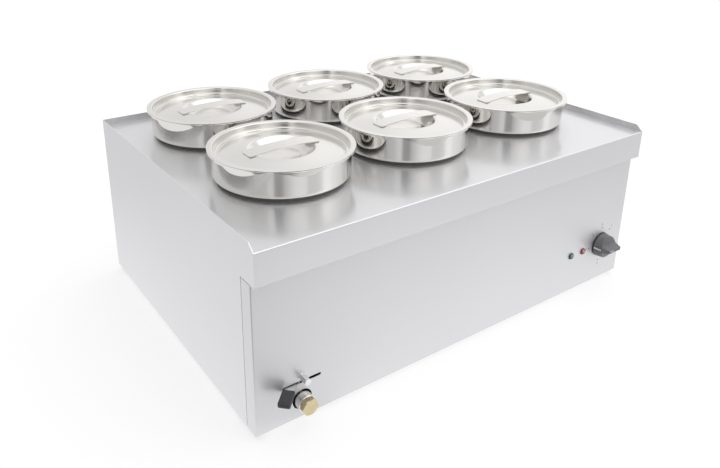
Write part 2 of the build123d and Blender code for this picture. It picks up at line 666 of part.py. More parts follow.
# Overheat cut-out, clamped under the tank's floor
cutout_x = CUTOUT_PLACE[0]
cutout_y = HOLES_MID_Y + CUTOUT_PLACE[1]
with BuildPart() as overheat_cutout:
    with Locations((cutout_x, cutout_y, TANK_Z - CUTOUT_PLATE[2] / 2)):
        Box(*CUTOUT_PLATE)
    with Locations((cutout_x, cutout_y, TANK_Z - CUTOUT_PLATE[2] - CUTOUT_H / 2)):
        Cylinder(CUTOUT_R, CUTOUT_H)
    with Locations((cutout_x, cutout_y, TANK_Z - CUTOUT_PLATE[2] - CUTOUT_H - TAB[1] / 2)):
        with GridLocations(CUTOUT_R, 0, 2, 1):
            Box(TAB[2], TAB[0], TAB[1])
keep(overheat_cutout, "overheat_cutout")

# Lamps: a domed lens in front of the panel, clipped into a body behind it
for name, x in (("green_lamp_lens", GREEN_X), ("red_lamp_lens", RED_X)):
    with BuildPart() as lamp_lens:
        with BuildSketch(lengthwise(x, PANEL_Y, CONTROL_Z)):
            with BuildLine():
                Polyline(
                    (LAMP_RIM + LAMP_DOME, 0),
                    (-LAMP_SHANK, 0),
                    (-LAMP_SHANK, LAMP_SHANK_R),
                    (0, LAMP_SHANK_R),
                    (0, LAMP_R),
                    (LAMP_RIM, LAMP_R),
                )
                dome_r = (LAMP_R**2 + LAMP_DOME**2) / (2 * LAMP_DOME)
                RadiusArc((LAMP_RIM, LAMP_R), (LAMP_RIM + LAMP_DOME, 0), dome_r)
            make_face()
        revolve(axis=axis_y(x, CONTROL_Z))
    keep(lamp_lens, name)

with BuildPart() as lamp_bodies:
    for x in (GREEN_X, RED_X):
        with BuildSketch(facing_front(x, PANEL_IN_Y, CONTROL_Z)):
            Circle(LAMP_BODY_R)
        extrude(amount=-LAMP_BODY)
        with Locations((x, PANEL_IN_Y + LAMP_BODY + TAB[1] / 2, CONTROL_Z)):
            with GridLocations(LAMP_BODY_R, 0, 2, 1):
                Box(TAB[2], TAB[1], TAB[0])
        with Locations(facing_front(x, PANEL_IN_Y, CONTROL_Z)):
            Hole(radius=LAMP_SHANK_R, depth=LAMP_SHANK - SHEET)
keep(lamp_bodies, "lamp_bodies")

# Control knob: a tapered skirt, hollowed above and below to leave a grip bar across it
knob_back_y = PANEL_Y - KNOB_GAP
with BuildPart() as control_knob:
    with BuildSketch(lengthwise(KNOB_X, PANEL_Y, CONTROL_Z)):
        with BuildLine():
            Polyline(
                (KNOB_GAP, 0),
                (KNOB_GAP, KNOB_R),
                (KNOB_RIM, KNOB_R),
                (KNOB_SKIRT, KNOB_NECK_R),
                (KNOB_OUT, KNOB_NECK_R),
                (KNOB_OUT, 0),
                close=True,
            )
        make_face()
    revolve(axis=axis_y(KNOB_X, CONTROL_Z))
    with BuildSketch(lengthwise(KNOB_X, PANEL_Y, CONTROL_Z)):
        with BuildLine():
            RadiusArc((SCOOP_START, KNOB_R), (KNOB_OUT, KNOB_BAR / 2), -SCOOP_R)
            Polyline((KNOB_OUT, KNOB_BAR / 2), (KNOB_OUT, KNOB_R), (SCOOP_START, KNOB_R))
        make_face()
        mirror(about=Plane.XZ)
    extrude(amount=KNOB_R, both=True, mode=Mode.SUBTRACT)
    fillet(control_knob.faces().sort_by(Axis.Y)[0].edges(), KNOB_EDGE)
    with BuildSketch(facing_front(KNOB_X, knob_back_y, CONTROL_Z)):
        Circle(SPINDLE_R)
        with Locations((0, SPINDLE_R - SPINDLE_FLAT / 2)):
            Rectangle(2 * SPINDLE_R, SPINDLE_FLAT, mode=Mode.SUBTRACT)
    extrude(amount=SPINDLE_IN_KNOB, mode=Mode.SUBTRACT)
keep(control_knob, "control_knob")

# Drain: a socket under the tank's floor and a bent pipe to the tap
pipe_end_y = STEM_AT_Y + CHAMBER_HALF + INLET_LENGTH - PIPE_IN
with BuildPart() as drain_socket:
    with Locations((TAP_X, drain_y, TANK_Z - SOCKET_H / 2)):
        Cylinder(SOCKET_R, SOCKET_H)
        Cylinder(PIPE_R, SOCKET_H, mode=Mode.SUBTRACT)
keep(drain_socket, "drain_socket")

with BuildPart() as drain_pipe:
    with BuildLine():
        FilletPolyline(
            (TAP_X, drain_y, TANK_Z),
            (TAP_X, drain_y, TAP_Z),
            (TAP_X, pipe_end_y, TAP_Z),
            radius=PIPE_BEND,
        )
    with BuildSketch(Plane(origin=(TAP_X, drain_y, TANK_Z), z_dir=(0, 0, -1))):
        Circle(PIPE_R)
        Circle(PIPE_R - PIPE_WALL, mode=Mode.SUBTRACT)
    sweep()
keep(drain_pipe, "drain_pipe")

# Tap body: the round outlet in front, the ball's chamber behind and a boss for the stem on top
tap_axis = axis_y(TAP_X, TAP_Z)
tap_plane = lengthwise(TAP_X, STEM_AT_Y, TAP_Z)
collar_end = STEM_BACK + COLLAR_OUT
with BuildPart() as tap_body:
    with BuildSketch(tap_plane):
        with BuildLine():
            Polyline(
                (-CHAMBER_HALF, 0),
                (-CHAMBER_HALF, CHAMBER_OUTER_R),
                (CHAMBER_HALF - CHAMBER_CONE, CHAMBER_OUTER_R),
                (CHAMBER_HALF, COLLAR_R),
                (collar_end - COLLAR_EDGE, COLLAR_R),
                (collar_end, COLLAR_R - COLLAR_EDGE),
                (collar_end, 0),
                close=True,
            )
        make_face()
    revolve(axis=tap_axis)
    with Locations((TAP_X, STEM_AT_Y, (TAP_Z + BOSS_Z) / 2)):
        Cylinder(BOSS_R, BOSS_Z - TAP_Z)
    with BuildSketch(tap_plane):
        with BuildLine():
            Polyline(
                (-CHAMBER_HALF, 0),
                (-CHAMBER_HALF, CHAMBER_R),
                (CHAMBER_HALF, CHAMBER_R),
                (CHAMBER_HALF, WATERWAY_R),
                (collar_end - OUTLET_DEPTH, WATERWAY_R),
                (collar_end - OUTLET_DEPTH, OUTLET_R),
                (collar_end, OUTLET_R),
                (collar_end, 0),
                close=True,
            )
        make_face()
    revolve(axis=tap_axis, mode=Mode.SUBTRACT)
    with Locations((TAP_X, STEM_AT_Y, (TAP_Z + BOSS_Z) / 2)):
        Cylinder(STEM_R + RUN_GAP, BOSS_Z - TAP_Z, mode=Mode.SUBTRACT)
keep(tap_body, "tap_body")

# Tap inlet: a hexagon end that takes the drain pipe
inlet_y = STEM_AT_Y + CHAMBER_HALF
with BuildPart() as tap_inlet:
    with BuildSketch(facing_front(TAP_X, inlet_y + INLET_COLLAR, TAP_Z)):
        Circle(CHAMBER_OUTER_R)
    extrude(amount=INLET_COLLAR)
    with BuildSketch(facing_front(TAP_X, inlet_y + INLET_LENGTH, TAP_Z)):
        RegularPolygon(INLET_HEX / 2, 6, major_radius=False)
    extrude(amount=INLET_LENGTH - INLET_COLLAR)
    with BuildSketch(facing_front(TAP_X, inlet_y + INLET_LENGTH, TAP_Z)):
        Circle(WATERWAY_R)
    extrude(amount=INLET_LENGTH, mode=Mode.SUBTRACT)
    with BuildSketch(facing_front(TAP_X, inlet_y + INLET_LENGTH, TAP_Z)):
        Circle(PIPE_R)
    extrude(amount=PIPE_IN, mode=Mode.SUBTRACT)
keep(tap_inlet, "tap_inlet")

# Ball, shut as the lever stands: its waterway lies across the pipe, and the slot for the stem along it
with BuildPart() as tap_ball:
    with Locations((TAP_X, STEM_AT_Y, TAP_Z)):
        Sphere(BALL_R)
        with Locations(Rotation(0, 90, 0)):
            Cylinder(WATERWAY_R, 2 * BALL_R, mode=Mode.SUBTRACT)
    slot_half_w = TONGUE_T / 2 + TONGUE_GAP
    slot_floor = TAP_Z + BALL_R - TONGUE_DEPTH - TONGUE_GAP
    slot_x = (TAP_X - slot_half_w, TAP_X + slot_half_w)
    slot_y = (STEM_AT_Y - BALL_R, STEM_AT_Y + BALL_R)
    block(slot_x, slot_y, (slot_floor, TAP_Z + BALL_R), mode=Mode.SUBTRACT)
keep(tap_ball, "tap_ball")

# Seats before and behind the ball
with BuildPart() as ball_seats:
    for face_y in (STEM_AT_Y - SEAT_HALF, STEM_AT_Y + CHAMBER_HALF):
        with BuildSketch(facing_front(TAP_X, face_y, TAP_Z)):
            Circle(CHAMBER_R - SEAT_FIT)
            Circle(WATERWAY_R, mode=Mode.SUBTRACT)
        extrude(amount=CHAMBER_HALF - SEAT_HALF)
    with Locations((TAP_X, STEM_AT_Y, TAP_Z)):
        Sphere(BALL_R + SEAT_GAP, mode=Mode.SUBTRACT)
keep(ball_seats, "ball_seats")

# Stem: a tongue in the ball's slot, a shoulder under the lever and a thread for the nut
lever_top = LEVER_Z + LEVER_T
with BuildPart() as tap_stem:
    stem_foot = TAP_Z + BALL_R + SEAT_GAP
    with BuildSketch(Plane.XZ.offset(-STEM_AT_Y)):
        with BuildLine():
            Polyline(
                (TAP_X, stem_foot),
                (TAP_X + STEM_R, stem_foot),
                (TAP_X + STEM_R, LEVER_Z - STEM_SHOULDER),
                (TAP_X + STEM_SHOULDER_R, LEVER_Z - STEM_SHOULDER),
                (TAP_X + STEM_SHOULDER_R, LEVER_Z),
                (TAP_X + STEM_R, LEVER_Z),
                (TAP_X + STEM_R, lever_top),
                (TAP_X + STEM_THREAD_R, lever_top),
                (TAP_X + STEM_THREAD_R, lever_top + NUT_T + STEM_END),
                (TAP_X, lever_top + NUT_T + STEM_END),
                close=True,
            )
        make_face()
    revolve(axis=Axis((TAP_X, STEM_AT_Y, 0), (0, 0, 1)))
    tongue_x = (TAP_X - TONGUE_T / 2, TAP_X + TONGUE_T / 2)
    tongue_y = (STEM_AT_Y - STEM_R + TONGUE_GAP, STEM_AT_Y + STEM_R - TONGUE_GAP)
    block(tongue_x, tongue_y, (TAP_Z + BALL_R - TONGUE_DEPTH, stem_foot))
keep(tap_stem, "tap_stem")

with BuildPart() as stem_nut:
    with BuildSketch(Plane.XY.offset(lever_top)):
        with Locations((TAP_X, STEM_AT_Y)):
            RegularPolygon(NUT_HEX / 2, 6, major_radius=False)
            Circle(STEM_THREAD_R, mode=Mode.SUBTRACT)
    extrude(amount=NUT_T)
keep(stem_nut, "stem_nut")

# Lever: a flat strip from the stem out through the panel's slot, with a tang inside the grip
lever_dir = (-sin(lean), -cos(lean), 0)
lever_plane = Plane(origin=(TAP_X, STEM_AT_Y, LEVER_Z), x_dir=lever_dir, z_dir=(0, 0, 1))
with BuildPart() as tap_lever:
    with BuildSketch(lever_plane):
        Circle(LEVER_HUB_R)
        with Locations((GRIP_START / 2, 0)):
            Rectangle(GRIP_START, LEVER_W)
        with Locations(((GRIP_START + LEVER_TANG_END) / 2, 0)):
            Rectangle(LEVER_TANG_END - GRIP_START, LEVER_TANG_W)
        Circle(STEM_R, mode=Mode.SUBTRACT)
    extrude(amount=LEVER_T)
keep(tap_lever, "tap_lever")

with BuildPart() as lever_grip:
    with BuildSketch(lever_plane.offset((LEVER_T - GRIP_T) / 2)):
        with Locations(((GRIP_START + GRIP_END) / 2, 0)):
            RectangleRounded(GRIP_END - GRIP_START, GRIP_W, GRIP_CORNER)
    extrude(amount=GRIP_T)
    fillet(lever_grip.faces().sort_by(Axis.Z)[-1].edges(), GRIP_EDGE)
    fillet(lever_grip.faces().sort_by(Axis.Z)[0].edges(), GRIP_EDGE)
    with BuildSketch(lever_plane):
        with Locations(((GRIP_START + LEVER_TANG_END) / 2, 0)):
            Rectangle(LEVER_TANG_END - GRIP_START, LEVER_TANG_W)
    extrude(amount=LEVER_T, mode=Mode.SUBTRACT)
keep(lever_grip, "lever_grip")

# Brass plug in the tap's outlet: a hexagon head, bevelled at its corners
plug_y = STEM_AT_Y - collar_end - REST_GAP
plug_corner_r = PLUG_HEX / 2 / cos(radians(30))
with BuildPart() as tap_plug:
    with BuildSketch(facing_front(TAP_X, plug_y, TAP_Z)):
        RegularPolygon(PLUG_HEX / 2, 6, major_radius=False)
    extrude(amount=PLUG_T)
    with BuildSketch(lengthwise(TAP_X, plug_y, TAP_Z)):
        with BuildLine():
            Polyline(
                (0, 0),
                (0, plug_corner_r),
                (PLUG_T - PLUG_EDGE, plug_corner_r),
                (PLUG_T, PLUG_HEX / 2),
                (PLUG_T, 0),
                close=True,
            )
        make_face()
    revolve(axis=tap_axis, mode=Mode.INTERSECT)
    with BuildSketch(facing_front(TAP_X, plug_y, TAP_Z)):
        Circle(OUTLET_R - RUN_GAP)
    extrude(amount=-PLUG_SHANK)
keep(tap_plug, "tap_plug")

# Bracket from the panel over the lever to the drain pipe, and its bolt over the slot
bracket_back_y = inlet_y + INLET_LENGTH + BRACKET_LEG_GAP + BRACKET_T
with BuildPart() as tap_bracket:
    with BuildSketch(Plane.YZ.offset(TAP_X)):
        with BuildLine():
            FilletPolyline(
                (PANEL_IN_Y, slot_z[1] + BRACKET_T),
                (PANEL_IN_Y, bolt_z + BRACKET_RISE),
                (bracket_back_y, bolt_z + BRACKET_RISE),
                (bracket_back_y, TAP_Z - BRACKET_BELOW),
                radius=BRACKET_BEND,
            )
            offset(amount=BRACKET_T, side=Side.RIGHT)
        make_face()
    extrude(amount=BRACKET_W / 2, both=True)
    with Locations(facing_front(TAP_X, PANEL_IN_Y, bolt_z)):
        Hole(radius=BOLT_R, depth=BRACKET_T)
    with Locations(facing_front(TAP_X, bracket_back_y - BRACKET_T, TAP_Z)):
        Hole(radius=PIPE_R + BRACKET_FIT, depth=BRACKET_T)
keep(tap_bracket, "tap_bracket")

nut_y = PANEL_IN_Y + BRACKET_T
with BuildPart() as bracket_bolt:
    with BuildSketch(facing_front(TAP_X, PANEL_Y - WASHER_T, bolt_z)):
        RegularPolygon(BOLT_HEX / 2, 6, major_radius=False)
    extrude(amount=BOLT_HEAD)
    with BuildSketch(facing_front(TAP_X, PANEL_Y, bolt_z)):
        Circle(WASHER_R)
    extrude(amount=WASHER_T)
    with BuildSketch(facing_front(TAP_X, nut_y + BOLT_NUT + BOLT_END, bolt_z)):
        Circle(BOLT_R)
    extrude(amount=nut_y + BOLT_NUT + BOLT_END - PANEL_Y)
    with BuildSketch(facing_front(TAP_X, nut_y + BOLT_NUT, bolt_z)):
        RegularPolygon(BOLT_HEX / 2, 6, major_radius=False)
        Circle(BOLT_R + THREAD_GAP, mode=Mode.SUBTRACT)
    extrude(amount=BOLT_NUT)
keep(bracket_bolt, "bracket_bolt")

# Cable gland in the rear panel, and its lock nut inside
with BuildPart() as cable_gland:
    with BuildSketch(facing_front(gland_x, REAR_Y, gland_z)):
        RegularPolygon(GLAND_HEX / 2, 6, major_radius=False)
    extrude(amount=-GLAND_HEX_T)
    with BuildSketch(facing_front(gland_x, REAR_Y + GLAND_HEX_T, gland_z)):
        Circle(GLAND_CAP_R)
    with BuildSketch(facing_front(gland_x, REAR_Y + GLAND_OUT, gland_z)):
        Circle(GLAND_CAP_END_R)
    loft()
    with BuildSketch(facing_front(gland_x, REAR_Y, gland_z)):
        Circle(GLAND_THREAD_R)
    extrude(amount=GLAND_THREAD)
    with BuildSketch(facing_front(gland_x, REAR_Y + GLAND_OUT, gland_z)):
        Circle(GLAND_BORE_R)
    extrude(amount=GLAND_OUT + GLAND_THREAD, mode=Mode.SUBTRACT)
keep(cable_gland, "cable_gland")

with BuildPart() as gland_lock_nut:
    with BuildSketch(facing_front(gland_x, REAR_IN_Y, gland_z)):
        RegularPolygon(LOCKNUT_HEX / 2, 6, major_radius=False)
        Circle(GLAND_THREAD_R, mode=Mode.SUBTRACT)
    extrude(amount=LOCKNUT_T)
keep(gland_lock_nut, "gland_lock_nut")

# Terminal block on the base, and the wiring from it to the thermostat
block_x = HALF_W - BLOCK_FROM_RIGHT
block_y = REAR_Y - BLOCK_FROM_REAR
block_front_y = block_y - BLOCK[1] / 2
loom_z = base_top + LOOM_R + LOOM_LIFT
with BuildPart() as terminal_block:
    with Locations((block_x, block_y, base_top + BLOCK[2] / 2)):
        Box(*BLOCK)
    with Locations((block_x, block_y, base_top + BLOCK[2])):
        with GridLocations(BLOCK_WAY_PITCH, 0, BLOCK_WAYS, 1):
            Cylinder(BLOCK_WAY_R, BLOCK[2] / 2, mode=Mode.SUBTRACT)
keep(terminal_block, "terminal_block")

loom_end_z = CONTROL_Z - THERMOSTAT[2] / 4
loom_turn_y = body_back_y + LOOM_TURN
with BuildPart() as wiring_loom:
    with BuildLine():
        FilletPolyline(
            (block_x, block_front_y, loom_z),
            (block_x, loom_turn_y + LOOM_TURN, loom_z),
            (KNOB_X, loom_turn_y, loom_z),
            (KNOB_X, body_back_y + LOOM_RISE, loom_end_z),
            (KNOB_X, body_back_y, loom_end_z),
            radius=LOOM_BEND,
        )
    with BuildSketch(facing_front(block_x, block_front_y, loom_z)):
        Circle(LOOM_R)
    sweep()
keep(wiring_loom, "wiring_loom")

# Pots, lids and handles, one set for each hole
shoulder_z = DECK_Z + HOLE_LIP + REST_GAP
rim_under = shoulder_z + POT_STAND - POT_WALL
lid_wall_r = POT_UPPER_R - POT_WALL - LID_WALL_GAP
lid_under = shoulder_z + POT_STAND + REST_GAP
ledge_under = lid_under - LID_WALL_DROP
ledge_out_r = lid_wall_r - LID_WALL_LEAN
ledge_in_r = ledge_out_r - LID_LEDGE
cone_edge_r = ledge_in_r - LID_STEP
cone_edge_under = lid_under - LID_EDGE_DROP
dish_under = cone_edge_under + LID_RISE
dish_floor_under = dish_under - DISH_DEPTH
cone_slope = LID_RISE / (cone_edge_r - DISH_R)
dish_top = dish_under + LID_SHEET
foot_in = DISH_R + DISH_RIM_FILLET / 2
foot_out = foot_in + STRAP_FOOT
foot_high = dish_top - cone_slope * (foot_in - DISH_R) + STRAP_LIFT
foot_low = foot_high - cone_slope * STRAP_FOOT
for number, (x, y) in enumerate(pot_centres, start=1):
    upright = Plane(origin=(x, y, 0), x_dir=(1, 0, 0), z_dir=(0, -1, 0))
    pot_axis = Axis((x, y, 0), (0, 0, 1))

    # Pot: a lower body in the water, a shoulder on the hole's lip, a wider wall and a flat rim
    with BuildPart() as pot:
        with BuildSketch(upright):
            with BuildLine():
                FilletPolyline(
                    (0, DECK_Z - POT_DEPTH),
                    (POT_LOWER_R, DECK_Z - POT_DEPTH),
                    (POT_LOWER_R, shoulder_z),
                    (POT_UPPER_R, shoulder_z),
                    (POT_UPPER_R, rim_under),
                    (POT_RIM_R, rim_under),
                    radius=[POT_FOOT_FILLET, POT_INNER_FILLET, POT_SHOULDER_FILLET, POT_INNER_FILLET],
                )
                offset(amount=POT_WALL, side=Side.LEFT)
            make_face()
        revolve(axis=pot_axis)
    keep(pot, f"pot_{number}")

    # Lid: a flange on the pot's rim, a wall and ledge inside it, and a low cone with a round dish
    with BuildPart() as lid:
        with BuildSketch(upright):
            with BuildLine():
                FilletPolyline(
                    (0, dish_floor_under),
                    (DISH_R - DISH_SLOPE, dish_floor_under),
                    (DISH_R, dish_under),
                    (cone_edge_r, cone_edge_under),
                    (ledge_in_r, ledge_under),
                    (ledge_out_r, ledge_under),
                    (lid_wall_r, lid_under),
                    (POT_RIM_R, lid_under),
                    radius=[DISH_FLOOR_FILLET, DISH_RIM_FILLET] + 4 * [LID_EDGE_FILLET],
                )
                offset(amount=LID_SHEET, side=Side.LEFT)
            make_face()
        revolve(axis=pot_axis)
    keep(lid, f"lid_{number}")

    # Handle: a low strap over the dish, its feet on the cone and its corners rounded
    with BuildPart() as lid_handle:
        with BuildSketch(upright):
            with BuildLine():
                Line((-foot_out, foot_low), (-foot_in, foot_high))
                ThreePointArc((-foot_in, foot_high), (0, foot_high + STRAP_RISE), (foot_in, foot_high))
                Line((foot_in, foot_high), (foot_out, foot_low))
                offset(amount=STRAP_T, side=Side.LEFT)
            make_face()
        extrude(amount=STRAP_W / 2, both=True)
        with BuildSketch(Plane.XY.offset(foot_low)):
            with Locations((x, y)):
                RectangleRounded(2 * foot_out, STRAP_W, STRAP_CORNER)
        extrude(amount=foot_high + STRAP_RISE + STRAP_T - foot_low, mode=Mode.INTERSECT)
    keep(lid_handle, f"lid_handle_{number}")
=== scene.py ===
"""Looks of a wet bain marie: its steels, pots, controls and tap, and the studio that it stands in."""

from math import cos, pi, radians, sin, tan

import bpy
import numpy as np
from bpy.props import FloatProperty, FloatVectorProperty, IntProperty, PointerProperty
from mathutils import Matrix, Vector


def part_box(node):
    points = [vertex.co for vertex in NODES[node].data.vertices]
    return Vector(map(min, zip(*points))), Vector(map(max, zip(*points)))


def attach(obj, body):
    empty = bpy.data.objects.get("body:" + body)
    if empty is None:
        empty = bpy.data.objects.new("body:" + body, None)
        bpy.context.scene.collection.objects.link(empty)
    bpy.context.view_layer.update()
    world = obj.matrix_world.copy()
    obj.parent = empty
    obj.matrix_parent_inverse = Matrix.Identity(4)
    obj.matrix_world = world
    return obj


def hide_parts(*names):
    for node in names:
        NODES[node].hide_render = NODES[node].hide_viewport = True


bl_info = {
    "name": "Wet bain marie",
    "version": (1, 0, 0),
    "blender": (4, 5, 0),
    "location": "3D View > Sidebar > Bain marie",
    "description": "Finishes and turned pieces of a wet bain marie around its packed construction",
    "category": "Object",
}

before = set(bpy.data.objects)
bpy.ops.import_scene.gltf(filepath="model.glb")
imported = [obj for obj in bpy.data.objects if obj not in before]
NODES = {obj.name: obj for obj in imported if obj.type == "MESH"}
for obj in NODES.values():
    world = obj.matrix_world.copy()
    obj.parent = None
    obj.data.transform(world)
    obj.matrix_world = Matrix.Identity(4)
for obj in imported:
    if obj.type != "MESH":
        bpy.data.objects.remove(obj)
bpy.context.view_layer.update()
POTS = range(1, 7)
MM = 0.001
# The photograph's frame, in pixels
IMAGE_W = 720
IMAGE_H = 468
# The outer face that the controls stand on
PANEL_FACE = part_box("front_panel")[0].y
# Closer to its axis than this, a point of an outline is on it
ON_AXIS = 1e-7
WHITE = (1, 1, 1, 1)
# The colour sockets of a mix node, which share their names with its number sockets
MIX_FIRST = 6
MIX_SECOND = 7
MIX_RESULT = 2
# The studio's walls as metals see them: degrees from behind the object towards its right, and brightness
WALLS = (
    (-180, 1.3),
    (-173, 1.3),
    (-167, 1.15),
    (-160, 0.9),
    (-153, 0.65),
    (-149, 0.18),
    (-138, 0.14),
    (-135, 1.1),
    (-128, 1.1),
    (-124, 0.7),
    (-100, 0.65),
    (-90, 0.85),
    (0, 0.92),
    (24, 0.98),
    (42, 1.2),
    (60, 1.22),
    (80, 0.95),
    (124, 1.0),
    (128, 1.35),
    (141, 1.35),
    (144, 0.85),
    (168, 0.85),
    (172, 1.3),
    (180, 1.3),
)
# The floor as metals see it: metres from the object's middle, and brightness
FLOOR_FADE = ((0, 1.15), (0.45, 1.15), (0.7, 1.08), (0.85, 0.98), (1.05, 0.95), (4, 0.95))
# Where the floor's dark corner in the metals fades, ahead of the object and to its left, and where the floor
# far ahead dims, in metres
DARK_AHEAD = (-0.42, -0.36)
DARK_LEFT = (-0.6, -0.3)
FAR_AHEAD = (-1.05, -0.85)
# Heights of a direction between which the ceiling takes over from the walls
CEILING_FADE = (0.55, 0.85)
# Towards the light on what isn't metal, and its brightness square to that way and along it, by the fill
FILL_FROM = (0.36, -0.18, 0.915)
FILL_RANGE = (0.1, 1.6)
# Towards the soft box that lights the folds, and the one overhead that lights the lids' dishes
SOFT_BOXES = ((0.545, -0.34, 0.766), (0.05, 0.0, 0.999))
# Cosines of the angle from a soft box's middle between which it fades in
SOFT_BOX_FADE = (0.84, 0.99)


def linear(colour):
    """An sRGB hex colour as linear red, green and blue."""
    steps = np.array([int(colour[i : i + 2], 16) / 255 for i in (1, 3, 5)])
    return tuple(np.where(steps <= 0.04045, steps / 12.92, ((steps + 0.055) / 1.055) ** 2.4))


def middle(node):
    """Centre of a node's box."""
    low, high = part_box(node)
    return (low + high) / 2


# Sizes and colours that a user would change


def size_setting(name, description, default):
    """A length, in metres."""
    return FloatProperty(name=name, description=description, default=default, unit="LENGTH")


def colour_setting(name, description, default):
    """A colour, given as sRGB hex."""
    default = linear(default)
    return FloatVectorProperty(name=name, description=description, default=default, size=3, subtype="COLOR")


def angle_setting(name, description, degrees):
    """An angle, given in degrees."""
    return FloatProperty(name=name, description=description, default=radians(degrees), subtype="ANGLE")


def level_setting(name, description, default, **limits):
    """A plain number that isn't below zero."""
    return FloatProperty(name=name, description=description, default=default, min=0, **limits)


class PotSizes(bpy.types.PropertyGroup):
    """Sizes of the pots, lids and strap handles."""

    wall: size_setting("Pot wall", "Sheet of the pots", 0.9 * MM)
    lid_sheet: size_setting("Lid sheet", "Sheet of the lids", 0.8 * MM)
    lower_r: size_setting("Lower radius", "Pot in the water", 97 * MM)
    upper_r: size_setting("Upper radius", "Pot over the deck", 107 * MM)
    rim_r: size_setting("Rim radius", "Outer edge of the rim", 113.5 * MM)
    shoulder: size_setting("Shoulder", "Rounding at the deck", 7.5 * MM)
    lip: size_setting("Rim lip", "Turned down at the rim", 2.2 * MM)
    ledge: size_setting("Ledge", "Lid's ledge below its flange", 8.5 * MM)
    dish_r: size_setting("Dish radius", "Hollow of the lid", 52 * MM)
    dish_depth: size_setting("Dish depth", "Below the cone", 14 * MM)
    cone_rise: size_setting("Cone rise", "From edge to dish", 7 * MM)
    strap_w: size_setting("Strap width", "Lid handle", 28 * MM)
    strap_t: size_setting("Strap sheet", "Lid handle", 1.5 * MM)
    strap_rise: size_setting("Strap rise", "Arch over the cone", 3 * MM)
    segments: IntProperty(name="Segments", description="Steps round a pot", default=160, min=24, max=400)


class SteelFinish(bpy.types.PropertyGroup):
    """Colours and roughness of the metals."""

    satin: colour_setting("Satin steel", "Casing", "#dedee0")
    polished: colour_setting("Polished steel", "Pots", "#e6e4e0")
    pressed: colour_setting("Pressed steel", "Lids and straps", "#dbd9d5")
    nickel: colour_setting("Nickel plate", "Tap body", "#dcd9d4")
    brass: colour_setting("Brass", "Tap plug", "#cbbe99")
    satin_roughness: level_setting("Satin roughness", "Casing", 0.17, max=1)
    polished_roughness: level_setting("Polish roughness", "Pots", 0.035, max=1)
    pressed_roughness: level_setting("Lid roughness", "Lids and straps", 0.17, max=1)


class ControlFinish(bpy.types.PropertyGroup):
    """Colours of the controls."""

    moulding: colour_setting("Moulding", "Control knob", "#737377")
    vinyl: colour_setting("Vinyl", "Lever grip", "#303033")
    green: colour_setting("Green lens", "Mains lamp", "#12503c")
    red: colour_setting("Red lens", "Heating lamp", "#98142f")
    ink: colour_setting("Dial ink", "Marks round the knob", "#4a4a4c")


class Studio(bpy.types.PropertyGroup):
    """Camera, light and floor."""

    camera_place: FloatVectorProperty(
        name="Camera",
        description="Place of the camera",
        default=(-0.7481, -0.9679, 0.7245),
        size=3,
        subtype="XYZ",
    )
    camera_heading: angle_setting("Heading", "To the right of straight ahead", 34.842)
    camera_drop: angle_setting("Drop", "Below the horizon", 19.954)
    camera_roll: angle_setting("Roll", "About the view", 0.317)
    focal_px: level_setting("Focal length", "In pixels of the photograph", 705.96)
    axis_px: FloatVectorProperty(
        name="Lens axis", description="Where the lens axis meets the photograph", default=(338, 138), size=2
    )
    fill: level_setting("Fill", "Light on what isn't metal", 0.9)
    dark_floor: level_setting("Dark floor", "Camera's side in the metals", 0.3)
    far_floor: level_setting("Far floor", "Far ahead of the object in the metals", 0.72)
    soft_box: level_setting("Soft box", "Overhead lamps in the metals", 0.8)
    ceiling: level_setting("Ceiling", "Overhead light in the metals", 1.0)


# Building of meshes


def rounded(points, radii, steps=7):
    """An outline through corner points, each inner corner replaced by an arc that touches both its sides.

    The arc starts r tan(turn / 2) before the corner, and its points are centre + r (cos, sin).
    """
    corners = np.array(points, float)
    outline = [corners[:1]]
    for before, corner, after, radius in zip(corners, corners[1:], corners[2:], radii):
        way_in = (corner - before) / np.linalg.norm(corner - before)
        way_out = (after - corner) / np.linalg.norm(after - corner)
        turn = np.arctan2(way_in[0] * way_out[1] - way_in[1] * way_out[0], way_in @ way_out)
        start = corner - way_in * radius * tan(abs(turn) / 2)
        side = np.sign(turn) * np.array([-way_in[1], way_in[0]])
        centre = start + side * radius
        angles = np.linspace(0, turn, steps)[:, None]
        spoke = start - centre
        swung = np.array([-spoke[1], spoke[0]])
        outline.append(centre + spoke * np.cos(angles) + swung * np.sin(angles))
    outline.append(corners[-1:])
    return np.vstack(outline)


def sheet_outline(points, radii, thickness):
    """Closed section of a bent sheet: its lower line, then the line a thickness to the left, backwards.

    A corner moves by thickness (n1 + n2) / (1 + n1.n2), where n1 and n2 are its sides' normals, and its
    radius grows or shrinks by the thickness.
    """
    corners = np.array(points, float)
    ways = np.diff(corners, axis=0)
    ways /= np.linalg.norm(ways, axis=1)[:, None]
    normals = np.column_stack([-ways[:, 1], ways[:, 0]])
    before = np.vstack([normals[:1], normals])
    after = np.vstack([normals, normals[-1:]])
    moved = corners + thickness * (before + after) / (1 + (before * after).sum(1))[:, None]
    turns = ways[:-1, 0] * ways[1:, 1] - ways[:-1, 1] * ways[1:, 0]
    least = 0.05 * MM
    upper_radii = np.maximum(np.array(radii) - np.sign(turns) * thickness, least)
    return np.vstack([rounded(corners, radii), rounded(moved, upper_radii)[::-1]])


def about_up(centre, radius, height, angle):
    """Points at a radius, height and angle about a vertical axis."""
    radius, height, angle = np.broadcast_arrays(radius, height, angle)
    return np.stack([centre[0] + radius * np.cos(angle), centre[1] + radius * np.sin(angle), height], axis=-1)


def about_front(centre, radius, ahead, angle):
    """Points at a radius and angle about an axis that points to the front, this far ahead of its centre."""
    radius, ahead, angle = np.broadcast_arrays(radius, ahead, angle)
    x = centre[0] + radius * np.cos(angle)
    return np.stack([x, centre[1] - ahead, centre[2] + radius * np.sin(angle)], axis=-1)


